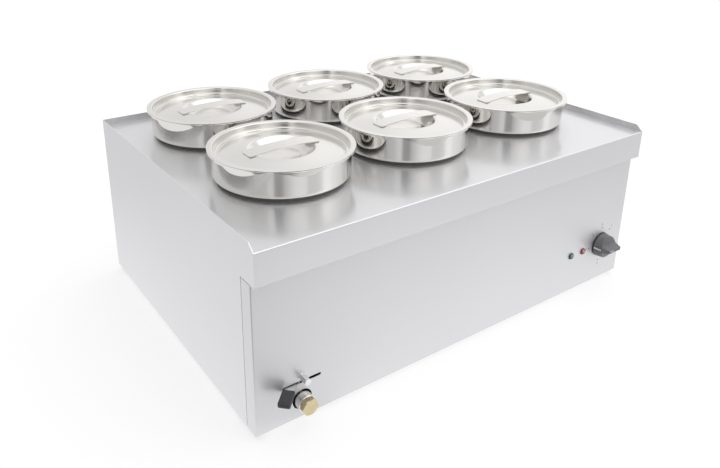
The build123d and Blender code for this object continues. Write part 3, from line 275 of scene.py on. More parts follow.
def circle(segments):
    """Angles of a full turn, without the last one that meets the first."""
    return np.arange(segments) * 2 * pi / segments


def skin(name, rings, first=None, last=None, smooth=35):
    """A closed surface through rings of points: quads between neighbours, and fans to the end points.

    The UV map runs once round the rings, and along them by the distance in metres.
    """
    count, around = rings.shape[:2]
    index = np.arange(count * around).reshape(count, around)
    beside = np.roll(index, -1, axis=1)
    quads = np.stack([index[:-1], beside[:-1], beside[1:], index[1:]], axis=-1).reshape(-1, 4)
    points = [rings.reshape(-1, 3)]
    faces = quads.tolist()
    step = np.linalg.norm(np.diff(rings, axis=0), axis=2).mean(1)
    along = np.concatenate([[0], np.cumsum(step)])
    u = np.arange(around) / around
    u_next = u + 1 / around
    low = np.broadcast_to(along[:-1, None], (count - 1, around))
    high = np.broadcast_to(along[1:, None], (count - 1, around))
    left = np.broadcast_to(u, low.shape)
    right = np.broadcast_to(u_next, low.shape)
    corners = [(left, low), (right, low), (right, high), (left, high)]
    uv = [np.stack([np.stack(corner, axis=-1) for corner in corners], axis=2).reshape(-1, 2)]
    for end, ring, flip, height in ((first, 0, True, along[0]), (last, -1, False, along[-1])):
        if end is None:
            continue
        pole = sum(len(block) for block in points)
        points.append(np.array([end], float))
        a, b = (beside[ring], index[ring]) if flip else (index[ring], beside[ring])
        ua, ub = (u_next, u) if flip else (u, u_next)
        faces += np.column_stack([a, b, np.full(around, pole)]).tolist()
        level = np.full(around, height)
        fan = [(ua, level), (ub, level), ((ua + ub) / 2, level)]
        uv.append(np.stack([np.column_stack(corner) for corner in fan], axis=1).reshape(-1, 2))
    mesh = bpy.data.meshes.new(name)
    mesh.from_pydata(np.vstack(points).tolist(), [], faces)
    layer = mesh.uv_layers.new(name="surface")
    layer.data.foreach_set("uv", np.vstack(uv).astype(np.float32).ravel())
    mesh.polygons.foreach_set("use_smooth", np.ones(len(mesh.polygons), bool))
    mesh.set_sharp_from_angle(angle=radians(smooth))
    piece = bpy.data.objects.new(name, mesh)
    bpy.context.scene.collection.objects.link(piece)
    return piece


def braced(outline, inset=0.4 * MM):
    """Adds a point close to both ends of each long side, so that smooth shading keeps the side straight."""
    points = [outline[:1]]
    for start, end in zip(outline, outline[1:]):
        length = np.linalg.norm(end - start)
        if length > 4 * inset:
            near = (end - start) * inset / length
            points.append(np.array([start + near, end - near]))
        points.append(end[None, :])
    return np.vstack(points)


def lathe(name, outline, place, centre, segments):
    """An outline of radius and height, turned about an axis. Points on the axis close the ends."""
    outline = braced(outline)
    angles = circle(segments)
    turned = outline[outline[:, 0] >= ON_AXIS]
    rings = place(centre, turned[:, :1], turned[:, 1:], angles[None, :])
    tips = outline[0], outline[-1]
    ends = [place(centre, 0.0, height, 0.0) if radius < ON_AXIS else None for radius, height in tips]
    return skin(name, rings, *ends)


def section(width, height, radius, steps=5):
    """A rounded rectangle about the origin, anticlockwise: four quarter circles at its corners."""
    quarter = np.linspace(0, pi / 2, steps)
    turns = (np.arange(4) * pi / 2)[:, None] + quarter
    corner_x = np.array([1, -1, -1, 1])[:, None] * (width / 2 - radius)
    corner_y = np.array([1, 1, -1, -1])[:, None] * (height / 2 - radius)
    x = corner_x + radius * np.cos(turns)
    y = corner_y + radius * np.sin(turns)
    return np.column_stack([x.ravel(), y.ravel()])


def dress(piece, body, slot, material, *nodes):
    """Gives a new piece its material and body, and hides the nodes that it stands for. Its slot is not used.
    """
    piece.data.materials.append(material)
    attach(piece, body)
    if nodes:
        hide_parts(*nodes)


def coat(material, *names):
    """Gives construction nodes a material."""
    for name in names:
        for slot in NODES[name].material_slots:
            slot.material = material


# Building of materials


def add(tree, kind, inputs=None, **settings):
    """Adds a node, with its settings. An input that is a socket is linked, and any other is set."""
    new = tree.nodes.new(kind)
    for name, value in settings.items():
        setattr(new, name, value)
    for name, value in (inputs or {}).items():
        if isinstance(value, bpy.types.NodeSocket):
            tree.links.new(value, new.inputs[name])
        else:
            new.inputs[name].default_value = value
    return new


def blank(name):
    """A material and its tree, without nodes."""
    material = bpy.data.materials.new(name)
    material.use_nodes = True
    material.node_tree.nodes.clear()
    return material, material.node_tree


def spread(tree, texture, low, high):
    """A number that follows a texture's middle range from one limit to the other."""
    limits = {"Value": texture, "From Min": 0.3, "From Max": 0.7, "To Min": low, "To Max": high}
    return add(tree, "ShaderNodeMapRange", limits).outputs["Result"]


def tinted(tree, texture, colour, share):
    """A colour that a texture darkens and lightens by a share."""
    dark = (*[c * (1 - share) for c in colour], 1)
    light = (*[min(1, c * (1 + share)) for c in colour], 1)
    ends = {"Factor": spread(tree, texture, 0, 1), MIX_FIRST: dark, MIX_SECOND: light}
    return add(tree, "ShaderNodeMix", ends, data_type="RGBA").outputs[MIX_RESULT]


def grey_ramp(tree, value, stops):
    """A value read off a line through places and greys.

    It is a colour ramp, stretched to the first and last place and to the highest grey.
    """
    first, last = stops[0][0], stops[-1][0]
    top = max(grey for _, grey in stops)
    share = add(tree, "ShaderNodeMapRange", {"Value": value, "From Min": first, "From Max": last}).outputs[0]
    ramp = add(tree, "ShaderNodeValToRGB", {"Fac": share})
    elements = ramp.color_ramp.elements
    elements.remove(elements[1])
    for number, (place, grey) in enumerate(stops):
        stop = elements.new((place - first) / (last - first)) if number else elements[0]
        stop.color = (grey / top, grey / top, grey / top, 1)
    return add(tree, "ShaderNodeMath", {0: ramp.outputs["Color"], 1: top}, operation="MULTIPLY").outputs[0]


def brushed_stainless(name, colour, roughness, scratch, across=(0, 0, 1), haze=0.5):
    """Stainless sheet with a belt grain: fine straight scratches one way, which blur what it mirrors.

    Between the scratches it mirrors more clearly, so the gloss has a narrow lobe and a share of a wide one,
    the haze. The narrow lobe is drawn out across the grain. A scratch is given by its size along each axis.
    Real ones are about 0.05 mm wide. They are drawn about 2 mm wide, so that they show.
    """
    tone = 450 * MM
    material, tree = blank(name)
    spot = add(tree, "ShaderNodeTexCoord").outputs["Object"]
    grain = add(tree, "ShaderNodeMapping", {"Vector": spot, "Scale": [1 / size for size in scratch]})
    grain = {"Vector": grain.outputs["Vector"], "Scale": 1, "Detail": 4, "Roughness": 0.6}
    scratches = add(tree, "ShaderNodeTexNoise", grain).outputs["Fac"]
    drift = add(tree, "ShaderNodeTexNoise", {"Vector": spot, "Scale": 1 / tone, "Detail": 2}).outputs["Fac"]
    bump = add(tree, "ShaderNodeBump", {"Height": scratches, "Strength": 0.002, "Distance": 0.2 * MM})
    side = add(tree, "ShaderNodeCombineXYZ", dict(zip("XYZ", across)))
    steel = {"Base Color": tinted(tree, drift, colour, 0.012), "Metallic": 1.0}
    narrow = {
        "Roughness": spread(tree, scratches, roughness - 0.01, roughness + 0.01),
        "Normal": bump.outputs["Normal"],
        "Anisotropic": 0.7,
        "Tangent": side.outputs["Vector"],
    }
    wide = {"Roughness": roughness + 0.35}
    lobes = [add(tree, "ShaderNodeBsdfPrincipled", steel | lobe).outputs["BSDF"] for lobe in (narrow, wide)]
    both = add(tree, "ShaderNodeMixShader", {0: haze, 1: lobes[0], 2: lobes[1]})
    add(tree, "ShaderNodeOutputMaterial", {"Surface": both.outputs[0]})
    return material


def spun_stainless(name, colour, roughness):
    """Stainless that was spun and buffed: a near mirror with faint rings round the axis.

    Both patterns follow the surface's own map: a ring is about a third of a turn long, and a patch of haze a
    sixth. Real rings are under 0.1 mm wide. They are drawn wider, so that they show.
    """
    ring = 2 * MM
    patch = 33 * MM
    material, tree = blank(name)
    surface = add(tree, "ShaderNodeUVMap", uv_map="surface").outputs["UV"]
    rings = add(tree, "ShaderNodeMapping", {"Vector": surface, "Scale": (3, 1 / ring, 1)}).outputs["Vector"]
    rings = add(tree, "ShaderNodeTexNoise", {"Vector": rings, "Scale": 1, "Detail": 3}).outputs["Fac"]
    haze = add(tree, "ShaderNodeMapping", {"Vector": surface, "Scale": (6, 1 / patch, 1)}).outputs["Vector"]
    haze = add(tree, "ShaderNodeTexNoise", {"Vector": haze, "Scale": 1, "Detail": 2}).outputs["Fac"]
    bump = add(tree, "ShaderNodeBump", {"Height": rings, "Strength": 0.012, "Distance": 0.2 * MM})
    steel = {
        "Base Color": tinted(tree, haze, colour, 0.02),
        "Metallic": 1.0,
        "Roughness": spread(tree, rings, roughness * 0.7, roughness * 1.5),
        "Normal": bump.outputs["Normal"],
    }
    shader = add(tree, "ShaderNodeBsdfPrincipled", steel)
    add(tree, "ShaderNodeOutputMaterial", {"Surface": shader.outputs["BSDF"]})
    return material


def machined_metal(name, colour, roughness):
    """Turned or plated metal: tool marks in its gloss, and a slight bloom in its colour.

    Real tool marks are about 0.1 mm apart. They are drawn coarser, so that they show.
    """
    mark = 1.1 * MM
    patch = 8 * MM
    material, tree = blank(name)
    spot = add(tree, "ShaderNodeTexCoord").outputs["Object"]
    marks = add(tree, "ShaderNodeTexNoise", {"Vector": spot, "Scale": 1 / mark, "Detail": 2}).outputs["Fac"]
    bloom = add(tree, "ShaderNodeTexNoise", {"Vector": spot, "Scale": 1 / patch, "Detail": 2}).outputs["Fac"]
    bump = add(tree, "ShaderNodeBump", {"Height": marks, "Strength": 0.08, "Distance": 0.1 * MM})
    metal = {
        "Base Color": tinted(tree, bloom, colour, 0.06),
        "Metallic": 1.0,
        "Roughness": spread(tree, marks, roughness - 0.06, roughness + 0.08),
        "Normal": bump.outputs["Normal"],
    }
    shader = add(tree, "ShaderNodeBsdfPrincipled", metal)
    add(tree, "ShaderNodeOutputMaterial", {"Surface": shader.outputs["BSDF"]})
    return material


def moulding(name, colour, roughness, grit=0.7 * MM, bump=0.12):
    """Moulded thermoplastic or rubber: an even colour, worn in spots, under a fine spark-eroded grit.

    Real grit is about 0.1 mm. It is drawn coarser, so that it shows.
    """
    worn = 11 * MM
    material, tree = blank(name)
    spot = add(tree, "ShaderNodeTexCoord").outputs["Object"]
    grain = add(tree, "ShaderNodeTexNoise", {"Vector": spot, "Scale": 1 / grit, "Detail": 3}).outputs["Fac"]
    wear = add(tree, "ShaderNodeTexNoise", {"Vector": spot, "Scale": 1 / worn, "Detail": 3}).outputs["Fac"]
    relief = add(tree, "ShaderNodeBump", {"Height": grain, "Strength": bump, "Distance": 0.1 * MM})
    plastic = {
        "Base Color": tinted(tree, wear, colour, 0.1),
        "Roughness": spread(tree, wear, roughness - 0.05, roughness + 0.08),
        "Normal": relief.outputs["Normal"],
    }
    shader = add(tree, "ShaderNodeBsdfPrincipled", plastic)
    add(tree, "ShaderNodeOutputMaterial", {"Surface": shader.outputs["BSDF"]})
    return material


def lamp_lens(name, colour, painted_highlight_spot):
    """Tinted acrylic: a clear gloss over a deep colour, with the faint ribs of its diffuser.

    Its colour is painted paler round one spot above its middle: a painted highlight.
    """
    rib = 1.96 * MM
    highlight_core_r = 1 * MM
    highlight_fade_r = 4.2 * MM
    material, tree = blank(name)
    spot = add(tree, "ShaderNodeTexCoord").outputs["Object"]
    # A wave texture of scale 1 turns by 20 radians in a metre
    ribs = add(tree, "ShaderNodeTexWave", {"Vector": spot, "Scale": 2 * pi / 20 / rib, "Distortion": 1.5})
    # Painted highlight: near the spot the colour is mixed towards white
    away = add(tree, "ShaderNodeVectorMath", {0: spot, 1: painted_highlight_spot}, operation="DISTANCE").outputs["Value"]
    glow = {"Value": away, "From Min": highlight_core_r, "From Max": highlight_fade_r, "To Min": 0.4, "To Max": 0.0}
    glow = add(tree, "ShaderNodeMapRange", glow, interpolation_type="SMOOTHSTEP").outputs[0]
    ribbed = tinted(tree, ribs.outputs["Fac"], colour, 0.25)
    highlighted_mix = {"Factor": glow, MIX_FIRST: ribbed, MIX_SECOND: WHITE}
    acrylic = {
        "Base Color": add(tree, "ShaderNodeMix", highlighted_mix, data_type="RGBA").outputs[MIX_RESULT],
        "Roughness": 0.18,
        "IOR": 1.49,
        "Coat Weight": 0.6,
        "Coat Roughness": 0.05,
    }
    shader = add(tree, "ShaderNodeBsdfPrincipled", acrylic)
    add(tree, "ShaderNodeOutputMaterial", {"Surface": shader.outputs["BSDF"]})
    return material


def printed_ink(name, colour):
    """Screen-printed ink: matt, with a slightly uneven film."""
    patch = 1.4 * MM
    material, tree = blank(name)
    spot = add(tree, "ShaderNodeTexCoord").outputs["Object"]
    film = add(tree, "ShaderNodeTexNoise", {"Vector": spot, "Scale": 1 / patch, "Detail": 2}).outputs["Fac"]
    ink = {"Base Color": tinted(tree, film, colour, 0.12), "Roughness": 0.6}
    shader = add(tree, "ShaderNodeBsdfPrincipled", ink)
    add(tree, "ShaderNodeOutputMaterial", {"Surface": shader.outputs["BSDF"]})
    return material


# Operators, one for each piece or group of like pieces


class BAINMARIE_OT_casing(bpy.types.Operator):
    """Brush the steel sheets of the casing, each along its own grain."""

    bl_idname = "bainmarie.casing"
    bl_label = "Casing"

    def execute(self, context):
        steel = context.scene.bainmarie_steel
        scratch_w = 2.2 * MM
        scratch_l = 330 * MM
        along_x = (scratch_l, scratch_w, scratch_w)
        along_y = (scratch_w, scratch_l, scratch_w)
        # The front has a coarser belt than the rest, and the haze differs from sheet to sheet
        for node, scratch, across, coarse, haze in (
            ("top_plate", along_x, (0, 1, 0), 1.0, 0.6),
            ("front_panel", along_x, (0, 0, 1), 1.35, 0.86),
            ("rear_panel", along_x, (0, 0, 1), 1.0, 0.8),
            ("left_side_panel", along_y, (0, 0, 1), 1.0, 0.8),
            ("right_side_panel", along_y, (0, 0, 1), 1.0, 0.5),
        ):
            roughness = steel.satin_roughness * coarse
            name = f"brushed_stainless_{node}"
            coat(brushed_stainless(name, steel.satin, roughness, scratch, across, haze), node)
        return {"FINISHED"}


class BAINMARIE_OT_inner_fittings(bpy.types.Operator):
    """Finish the tank, the base and the fittings inside the casing."""

    bl_idname = "bainmarie.inner_fittings"
    bl_label = "Inner fittings"

    def execute(self, context):
        steel = context.scene.bainmarie_steel
        rolled = 17 * MM
        mill = brushed_stainless("mill_stainless", linear("#c4c4c4"), 0.34, (rolled, rolled, rolled))
        coat(mill, "base_panel", "water_tank", "element_stands", "bulb_pocket")
        # Painted shade: the hidden corner posts are coloured dark so that the seams beside them look like
        # shadowed gaps
        coat(moulding("painted_seam_shade", linear("#3a3a3a"), 0.6), "left_corner_post", "right_corner_post")
        zinc = machined_metal("zinc_plate", linear("#dfe1e2"), 0.3)
        coat(zinc, "foot_screws", "rear_panel_screws", "tap_bracket", "bracket_bolt", "stem_nut", "tap_stem")
        coat(zinc, "thermostat_spindle", "thermostat_bulb")
        coat(machined_metal("heat_darkened_sheath", linear("#77746c"), 0.42), "heating_element")
        brass = machined_metal("machined_brass_fitting", steel.brass, 0.3)
        coat(brass, "element_bushes", "drain_socket")
        coat(machined_metal("drawn_copper", linear("#c88a66"), 0.28), "drain_pipe")
        nickel = machined_metal("nickel_plate_inner", steel.nickel, 0.3)
        coat(nickel, "tap_inlet", "tap_ball")
        pale = moulding("pale_phenolic", linear("#dcd9cd"), 0.5)
        coat(pale, "thermostat_body", "overheat_cutout", "lamp_bodies", "terminal_block", "ball_seats")
        black = moulding("black_polyamide", linear("#1d1d1e"), 0.5)
        coat(black, "wiring_loom", "cable_gland", "gland_lock_nut")
        coat(moulding("black_rubber", linear("#181818"), 0.75, grit=1.4 * MM, bump=0.3), "rubber_feet")
        # Grey silicone seals, partly painted shade: their dark grey also stands in for the shadow gap under
        # the pots' shoulders
        coat(moulding("grey_seal_gap_shade", linear("#5c5c5a"), 0.55), "pot_seals")
        return {"FINISHED"}


class BAINMARIE_OT_pots(bpy.types.Operator):
    """Spin the six pots: lower body, shoulder on the hole's lip, wider wall and a rim that turns down."""

    bl_idname = "bainmarie.pots"
    bl_label = "Pots"

    def execute(self, context):
        sizes = context.scene.bainmarie_pots
        steel = context.scene.bainmarie_steel
        buffed = spun_stainless("spun_stainless_pot", steel.polished, steel.polished_roughness)
        clearance = 0.3 * MM
        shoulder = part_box("top_plate")[1].z + clearance
        base_corner = 14 * MM
        corner = 1.2 * MM
        rim_corner = 0.3 * MM
        radii = (base_corner, corner, sizes.shoulder, corner, rim_corner)
        for number in POTS:
            low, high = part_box(f"pot_{number}")
            rim = high.z - sizes.wall
            points = (
                (0, low.z),
                (sizes.lower_r, low.z),
                (sizes.lower_r, shoulder),
                (sizes.upper_r, shoulder),
                (sizes.upper_r, rim),
                (sizes.rim_r - sizes.wall, rim),
                (sizes.rim_r - sizes.wall, rim - sizes.lip),
            )
            outline = sheet_outline(points, radii, sizes.wall)
            pot = lathe(f"spun_pot_{number}", outline, about_up, middle(f"pot_{number}"), sizes.segments)
            dress(pot, f"pot_{number}_body", "polished_steel", buffed, f"pot_{number}")
        return {"FINISHED"}


class BAINMARIE_OT_lids(bpy.types.Operator):
    """Press the six lids: flange, wall, ledge, low cone and round dish."""

    bl_idname = "bainmarie.lids"
    bl_label = "Lids"

    def execute(self, context):
        sizes = context.scene.bainmarie_pots
        steel = context.scene.bainmarie_steel
        buffed = spun_stainless("spun_stainless_lid", steel.pressed, steel.pressed_roughness)
        play = 1 * MM
        lean = 1.2 * MM
        ledge_w = 5 * MM
        step_lean = 1.5 * MM
        dish_slope = 15 * MM
        wall_r = sizes.upper_r - sizes.wall - play
        ledge_r = wall_r - lean
        step_r = ledge_r - ledge_w
        base_corner = 16 * MM
        dish_corner = 5 * MM
        corner = 1.2 * MM
        radii = (base_corner, dish_corner, corner, corner, corner, corner)
        for number in POTS:
            low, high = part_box(f"lid_{number}")
            under = high.z - sizes.lid_sheet
            dish = low.z + sizes.dish_depth
            points = (
                (0, low.z),
                (sizes.dish_r - dish_slope, low.z),
                (sizes.dish_r, dish),
                (step_r - step_lean, dish - sizes.cone_rise),
                (step_r, under - sizes.ledge),
                (ledge_r, under - sizes.ledge),
                (wall_r, under),
                (sizes.rim_r, under),
            )
            outline = sheet_outline(points, radii, sizes.lid_sheet)
            lid = lathe(f"pressed_lid_{number}", outline, about_up, middle(f"lid_{number}"), sizes.segments)
            dress(lid, f"lid_{number}_body", "polished_steel", buffed, f"lid_{number}")
        return {"FINISHED"}


class BAINMARIE_OT_lid_handles(bpy.types.Operator):
    """Bend the strap handles over the dishes."""

    bl_idname = "bainmarie.lid_handles"
    bl_label = "Lid handles"

    def execute(self, context):
        sizes = context.scene.bainmarie_pots
        steel = context.scene.bainmarie_steel
        buffed = spun_stainless("buffed_stainless_strap", steel.pressed, steel.pressed_roughness)
        corner = 5 * MM
        foot_l = 7 * MM
        edge = 0.4 * MM
        for number in POTS:
            low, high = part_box(f"lid_handle_{number}")
            centre = (low + high) / 2
            half = (high.x - low.x) / 2
            foot = half - foot_l
            # Along the strap: an arch between the feet, rise (1 - (x / foot)^2), and feet with round corners
            # that lie on the cone
            arch = foot * np.sin(np.linspace(-pi / 2, pi / 2, 41))
            feet = half - corner * (1 - np.cos(np.linspace(0.15, pi / 2, 8)))
            x = np.concatenate([-feet, arch, feet[::-1]])
            fall = (high.z - low.z - sizes.strap_t - sizes.strap_rise) / foot_l
            beyond = np.clip(np.abs(x) - foot, 0, None)
            rise = sizes.strap_rise * np.clip(1 - (x / foot) ** 2, 0, None) + fall * (foot_l - beyond)
            inset = np.clip(corner - (half - np.abs(x)), 0, None)
            width = sizes.strap_w - 2 * (corner - np.sqrt(corner**2 - inset**2))
            strip = section(1, sizes.strap_t, edge)
            y = centre.y - strip[None, :, 0] * width[:, None]
            z = low.z + sizes.strap_t / 2 + rise[:, None] + strip[None, :, 1]
            rings = np.stack(np.broadcast_arrays(centre.x + x[:, None], y, z), axis=-1)
            strap = skin(f"strap_handle_{number}", rings, rings[0].mean(0), rings[-1].mean(0), smooth=40)
            dress(strap, f"lid_{number}_body", "polished_steel", buffed, f"lid_handle_{number}")
        return {"FINISHED"}


class BAINMARIE_OT_knob(bpy.types.Operator):
    """Mould the control knob and its flange, and paint its pointer marks."""

    bl_idname = "bainmarie.knob"
    bl_label = "Knob"

    def execute(self, context):
        colours = context.scene.bainmarie_controls
        low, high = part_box("control_knob")
        centre = (low + high) / 2
        axis = (centre.x, PANEL_FACE, centre.z)
        # Lengths along the axis, from the panel
        out = PANEL_FACE - low.y
        back = 0.8 * MM
        flange = 3 * MM
        cut_start = 14.5 * MM
        cut_run = 5 * MM
        drum_end = 18 * MM
        # Radii of the flange, the drum and the neck. The photograph's knob is a little fuller than the solid
        fuller = 1.2 * MM
        base_r = (high.x - low.x) / 2 + fuller
        drum_r = 21.3 * MM
        neck_r = 17.3 * MM
        # Half heights of the grip bar, and one that is clear of the drum
        bar_root = 6.5 * MM
        bar_tip = 2.8 * MM
        uncut = drum_r * 1.15
        flange_edge = 0.6 * MM
        back_edge = 0.3 * MM

        def radius(ahead, angle):
            """Drum and neck, softly cut by hollows above and below the grip bar.

            The half height falls from the drum to the bar by the step 3 t^2 - 2 t^3, and
            1 / r^14 is the sum of the same powers of the two limits.
            """
            power = 14.0
            cone = np.interp(ahead, [flange, drum_end, out], [base_r * 0.99, drum_r, neck_r])
            grip = np.interp(ahead, [drum_end, out], [bar_root, bar_tip])
            t = np.clip((ahead - cut_start) / cut_run, 0, 1)
            half = grip + (uncut - grip) * (1 - t * t * (3 - 2 * t))
            cut = half / np.maximum(np.abs(np.sin(angle)), 1e-3)
            return (cone**-power + cut**-power) ** (-1 / power)

        # Rounded front edge: a quarter circle, then rings that close to the middle
        edge = 1.5 * MM
        angles = circle(144)[None, :]
        ahead = np.linspace(flange, out - edge, 48)[:, None]
        side = about_front(axis, radius(ahead, angles), ahead, angles)
        bend = np.linspace(0, pi / 2, 6)[1:, None]
        round_edge = out - edge + edge * np.sin(bend)
        tip = radius(round_edge, angles) - edge * (1 - np.cos(bend))
        nose = about_front(axis, tip, round_edge, angles)
        flat = about_front(axis, tip[-1:] * np.array([[0.8], [0.5], [0.25]]), out, angles)
        rings = np.concatenate([side, nose, flat])
        ends = about_front(axis, 0.0, flange, 0.0), about_front(axis, 0.0, out, 0.0)
        knob = skin("moulded_knob", rings, *ends, smooth=50)
        phenolic = moulding("moulded_phenolic", colours.moulding, 0.3)
        dress(knob, "knob", "black_moulding", phenolic, "control_knob")
        points = [(0, back), (base_r, back), (base_r, flange), (0, flange)]
        ring = lathe("knob_flange", rounded(points, (back_edge, flange_edge)), about_front, axis, 96)
        dress(ring, "knob", "black_moulding", moulding("black_phenolic", linear("#1c1c1e"), 0.35))

        # Pointer marks in a film of paint: one along the drum, and one along the grip bar's front
        paint = printed_ink("pointer_paint", linear("#f4f4f2"))
        film = 0.15 * MM
        drum_gap = 0.5 * MM
        drum_half_w = 1.5 * MM
        bar_w = 1.8 * MM
        bar_inner = 4.5 * MM
        bar_outer = 14 * MM
        bar_lift = 1.2 * MM
        run = np.linspace(flange + drum_gap, drum_end, 14)[:, None]
        angle = pi + np.linspace(-drum_half_w, drum_half_w, 5)[None, :] / base_r
        top = about_front(axis, radius(run, angle) + film, run, angle)
        bottom = about_front(axis, radius(run, angle) - film, run, angle)
        rings = np.concatenate([top, bottom[:, ::-1]], axis=1)
        mark = skin("pointer_drum", rings[:, ::-1], rings[0].mean(0), rings[-1].mean(0))
        dress(mark, "knob", "black_moulding", paint)
        x = centre.x - np.linspace(bar_outer, bar_inner, 9)[:, None]
        strip = section(bar_w, 2 * film, film / 3, steps=3)
        level = centre.z + bar_lift
        rings = np.stack(np.broadcast_arrays(x, low.y + strip[:, 1], level + strip[:, 0]), axis=-1)
        mark = skin("pointer_bar", rings, rings[0].mean(0), rings[-1].mean(0))
        dress(mark, "knob", "black_moulding", paint)
        return {"FINISHED"}


class BAINMARIE_OT_dial(bpy.types.Operator):
    """Print a dot for each setting round the knob, with its number outside."""

    bl_idname = "bainmarie.dial"
    bl_label = "Dial"

    def execute(self, context):
        ink = printed_ink("dial_ink", context.scene.bainmarie_controls.ink)
        centre = middle("control_knob")
        film = 0.04 * MM
        dot_r = 1.3 * MM
        dots_r = 34 * MM
        figure_h = 6.5 * MM
        figures_r = 41 * MM
        outline = np.array([(0, 0), (dot_r, 0), (dot_r, film), (0, film)])
        for number, degrees in enumerate(range(180, -91, -45)):
            turn = radians(degrees)
            spot = (centre.x + dots_r * cos(turn), PANEL_FACE, centre.z + dots_r * sin(turn))
            dot = lathe(f"dial_dot_{number}", outline, about_front, spot, 20)
            dress(dot, "casing", "black_moulding", ink)
            text = bpy.data.curves.new(f"dial_number_{number}", "FONT")
            text.body = str(number)
            text.size = figure_h
            text.align_x = "CENTER"
            text.align_y = "CENTER"
            text.extrude = film / 2
            maker = bpy.data.objects.new("number_maker", text)
            context.scene.collection.objects.link(maker)
            mesh = bpy.data.meshes.new_from_object(maker.evaluated_get(context.evaluated_depsgraph_get()))
            bpy.data.objects.remove(maker)
            spot = (centre.x + figures_r * cos(turn), PANEL_FACE - film / 2, centre.z + figures_r * sin(turn))
            mesh.transform(Matrix.Translation(spot) @ Matrix.Rotation(pi / 2, 4, "X"))
            figure = bpy.data.objects.new(f"dial_number_{number}", mesh)
            context.scene.collection.objects.link(figure)
            mesh.materials.clear()
            dress(figure, "casing", "black_moulding", ink)
        return {"FINISHED"}


class BAINMARIE_OT_lamps(bpy.types.Operator):
    """Turn the two domed lamp lenses."""

    bl_idname = "bainmarie.lamps"
    bl_label = "Lamps"

    def execute(self, context):
        colours = context.scene.bainmarie_controls
        rim = 1.4 * MM
        bevel = 0.4 * MM
        rim_w = 0.9 * MM
        shank_r = 4.9 * MM
        for shade, colour in (("green", colours.green), ("red", colours.red)):
            node = f"{shade}_lamp_lens"
            low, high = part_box(node)
            centre = (low + high) / 2
            rim_r = (high.x - low.x) / 2
            out = PANEL_FACE - low.y
            back = PANEL_FACE - high.y
            # Shank, rim with a bevelled edge, then the dome: a quarter of an ellipse up to the axis
            rise = np.linspace(0, pi / 2, 12)
            dome = np.column_stack([(rim_r - rim_w) * np.cos(rise), rim + (out - rim) * np.sin(rise)])
            shank = [(0, back), (shank_r, back), (shank_r, 0)]
            edge = [(rim_r, 0), (rim_r, rim - bevel), (rim_r - bevel, rim)]
            outline = np.vstack([shank, edge, dome])
            outline[-1, 0] = 0
            lens = lathe(f"domed_{shade}_lens", outline, about_front, (centre.x, PANEL_FACE, centre.z), 48)
            # Spot of the painted highlight, a little left of and above the lens's middle
            painted_highlight_spot = (centre.x - 1.5 * MM, low.y + 0.6 * MM, centre.z + 2 * MM)
            dress(lens, "casing", f"{shade}_lens", lamp_lens(f"acrylic_{shade}", colour, painted_highlight_spot), node)
        return {"FINISHED"}


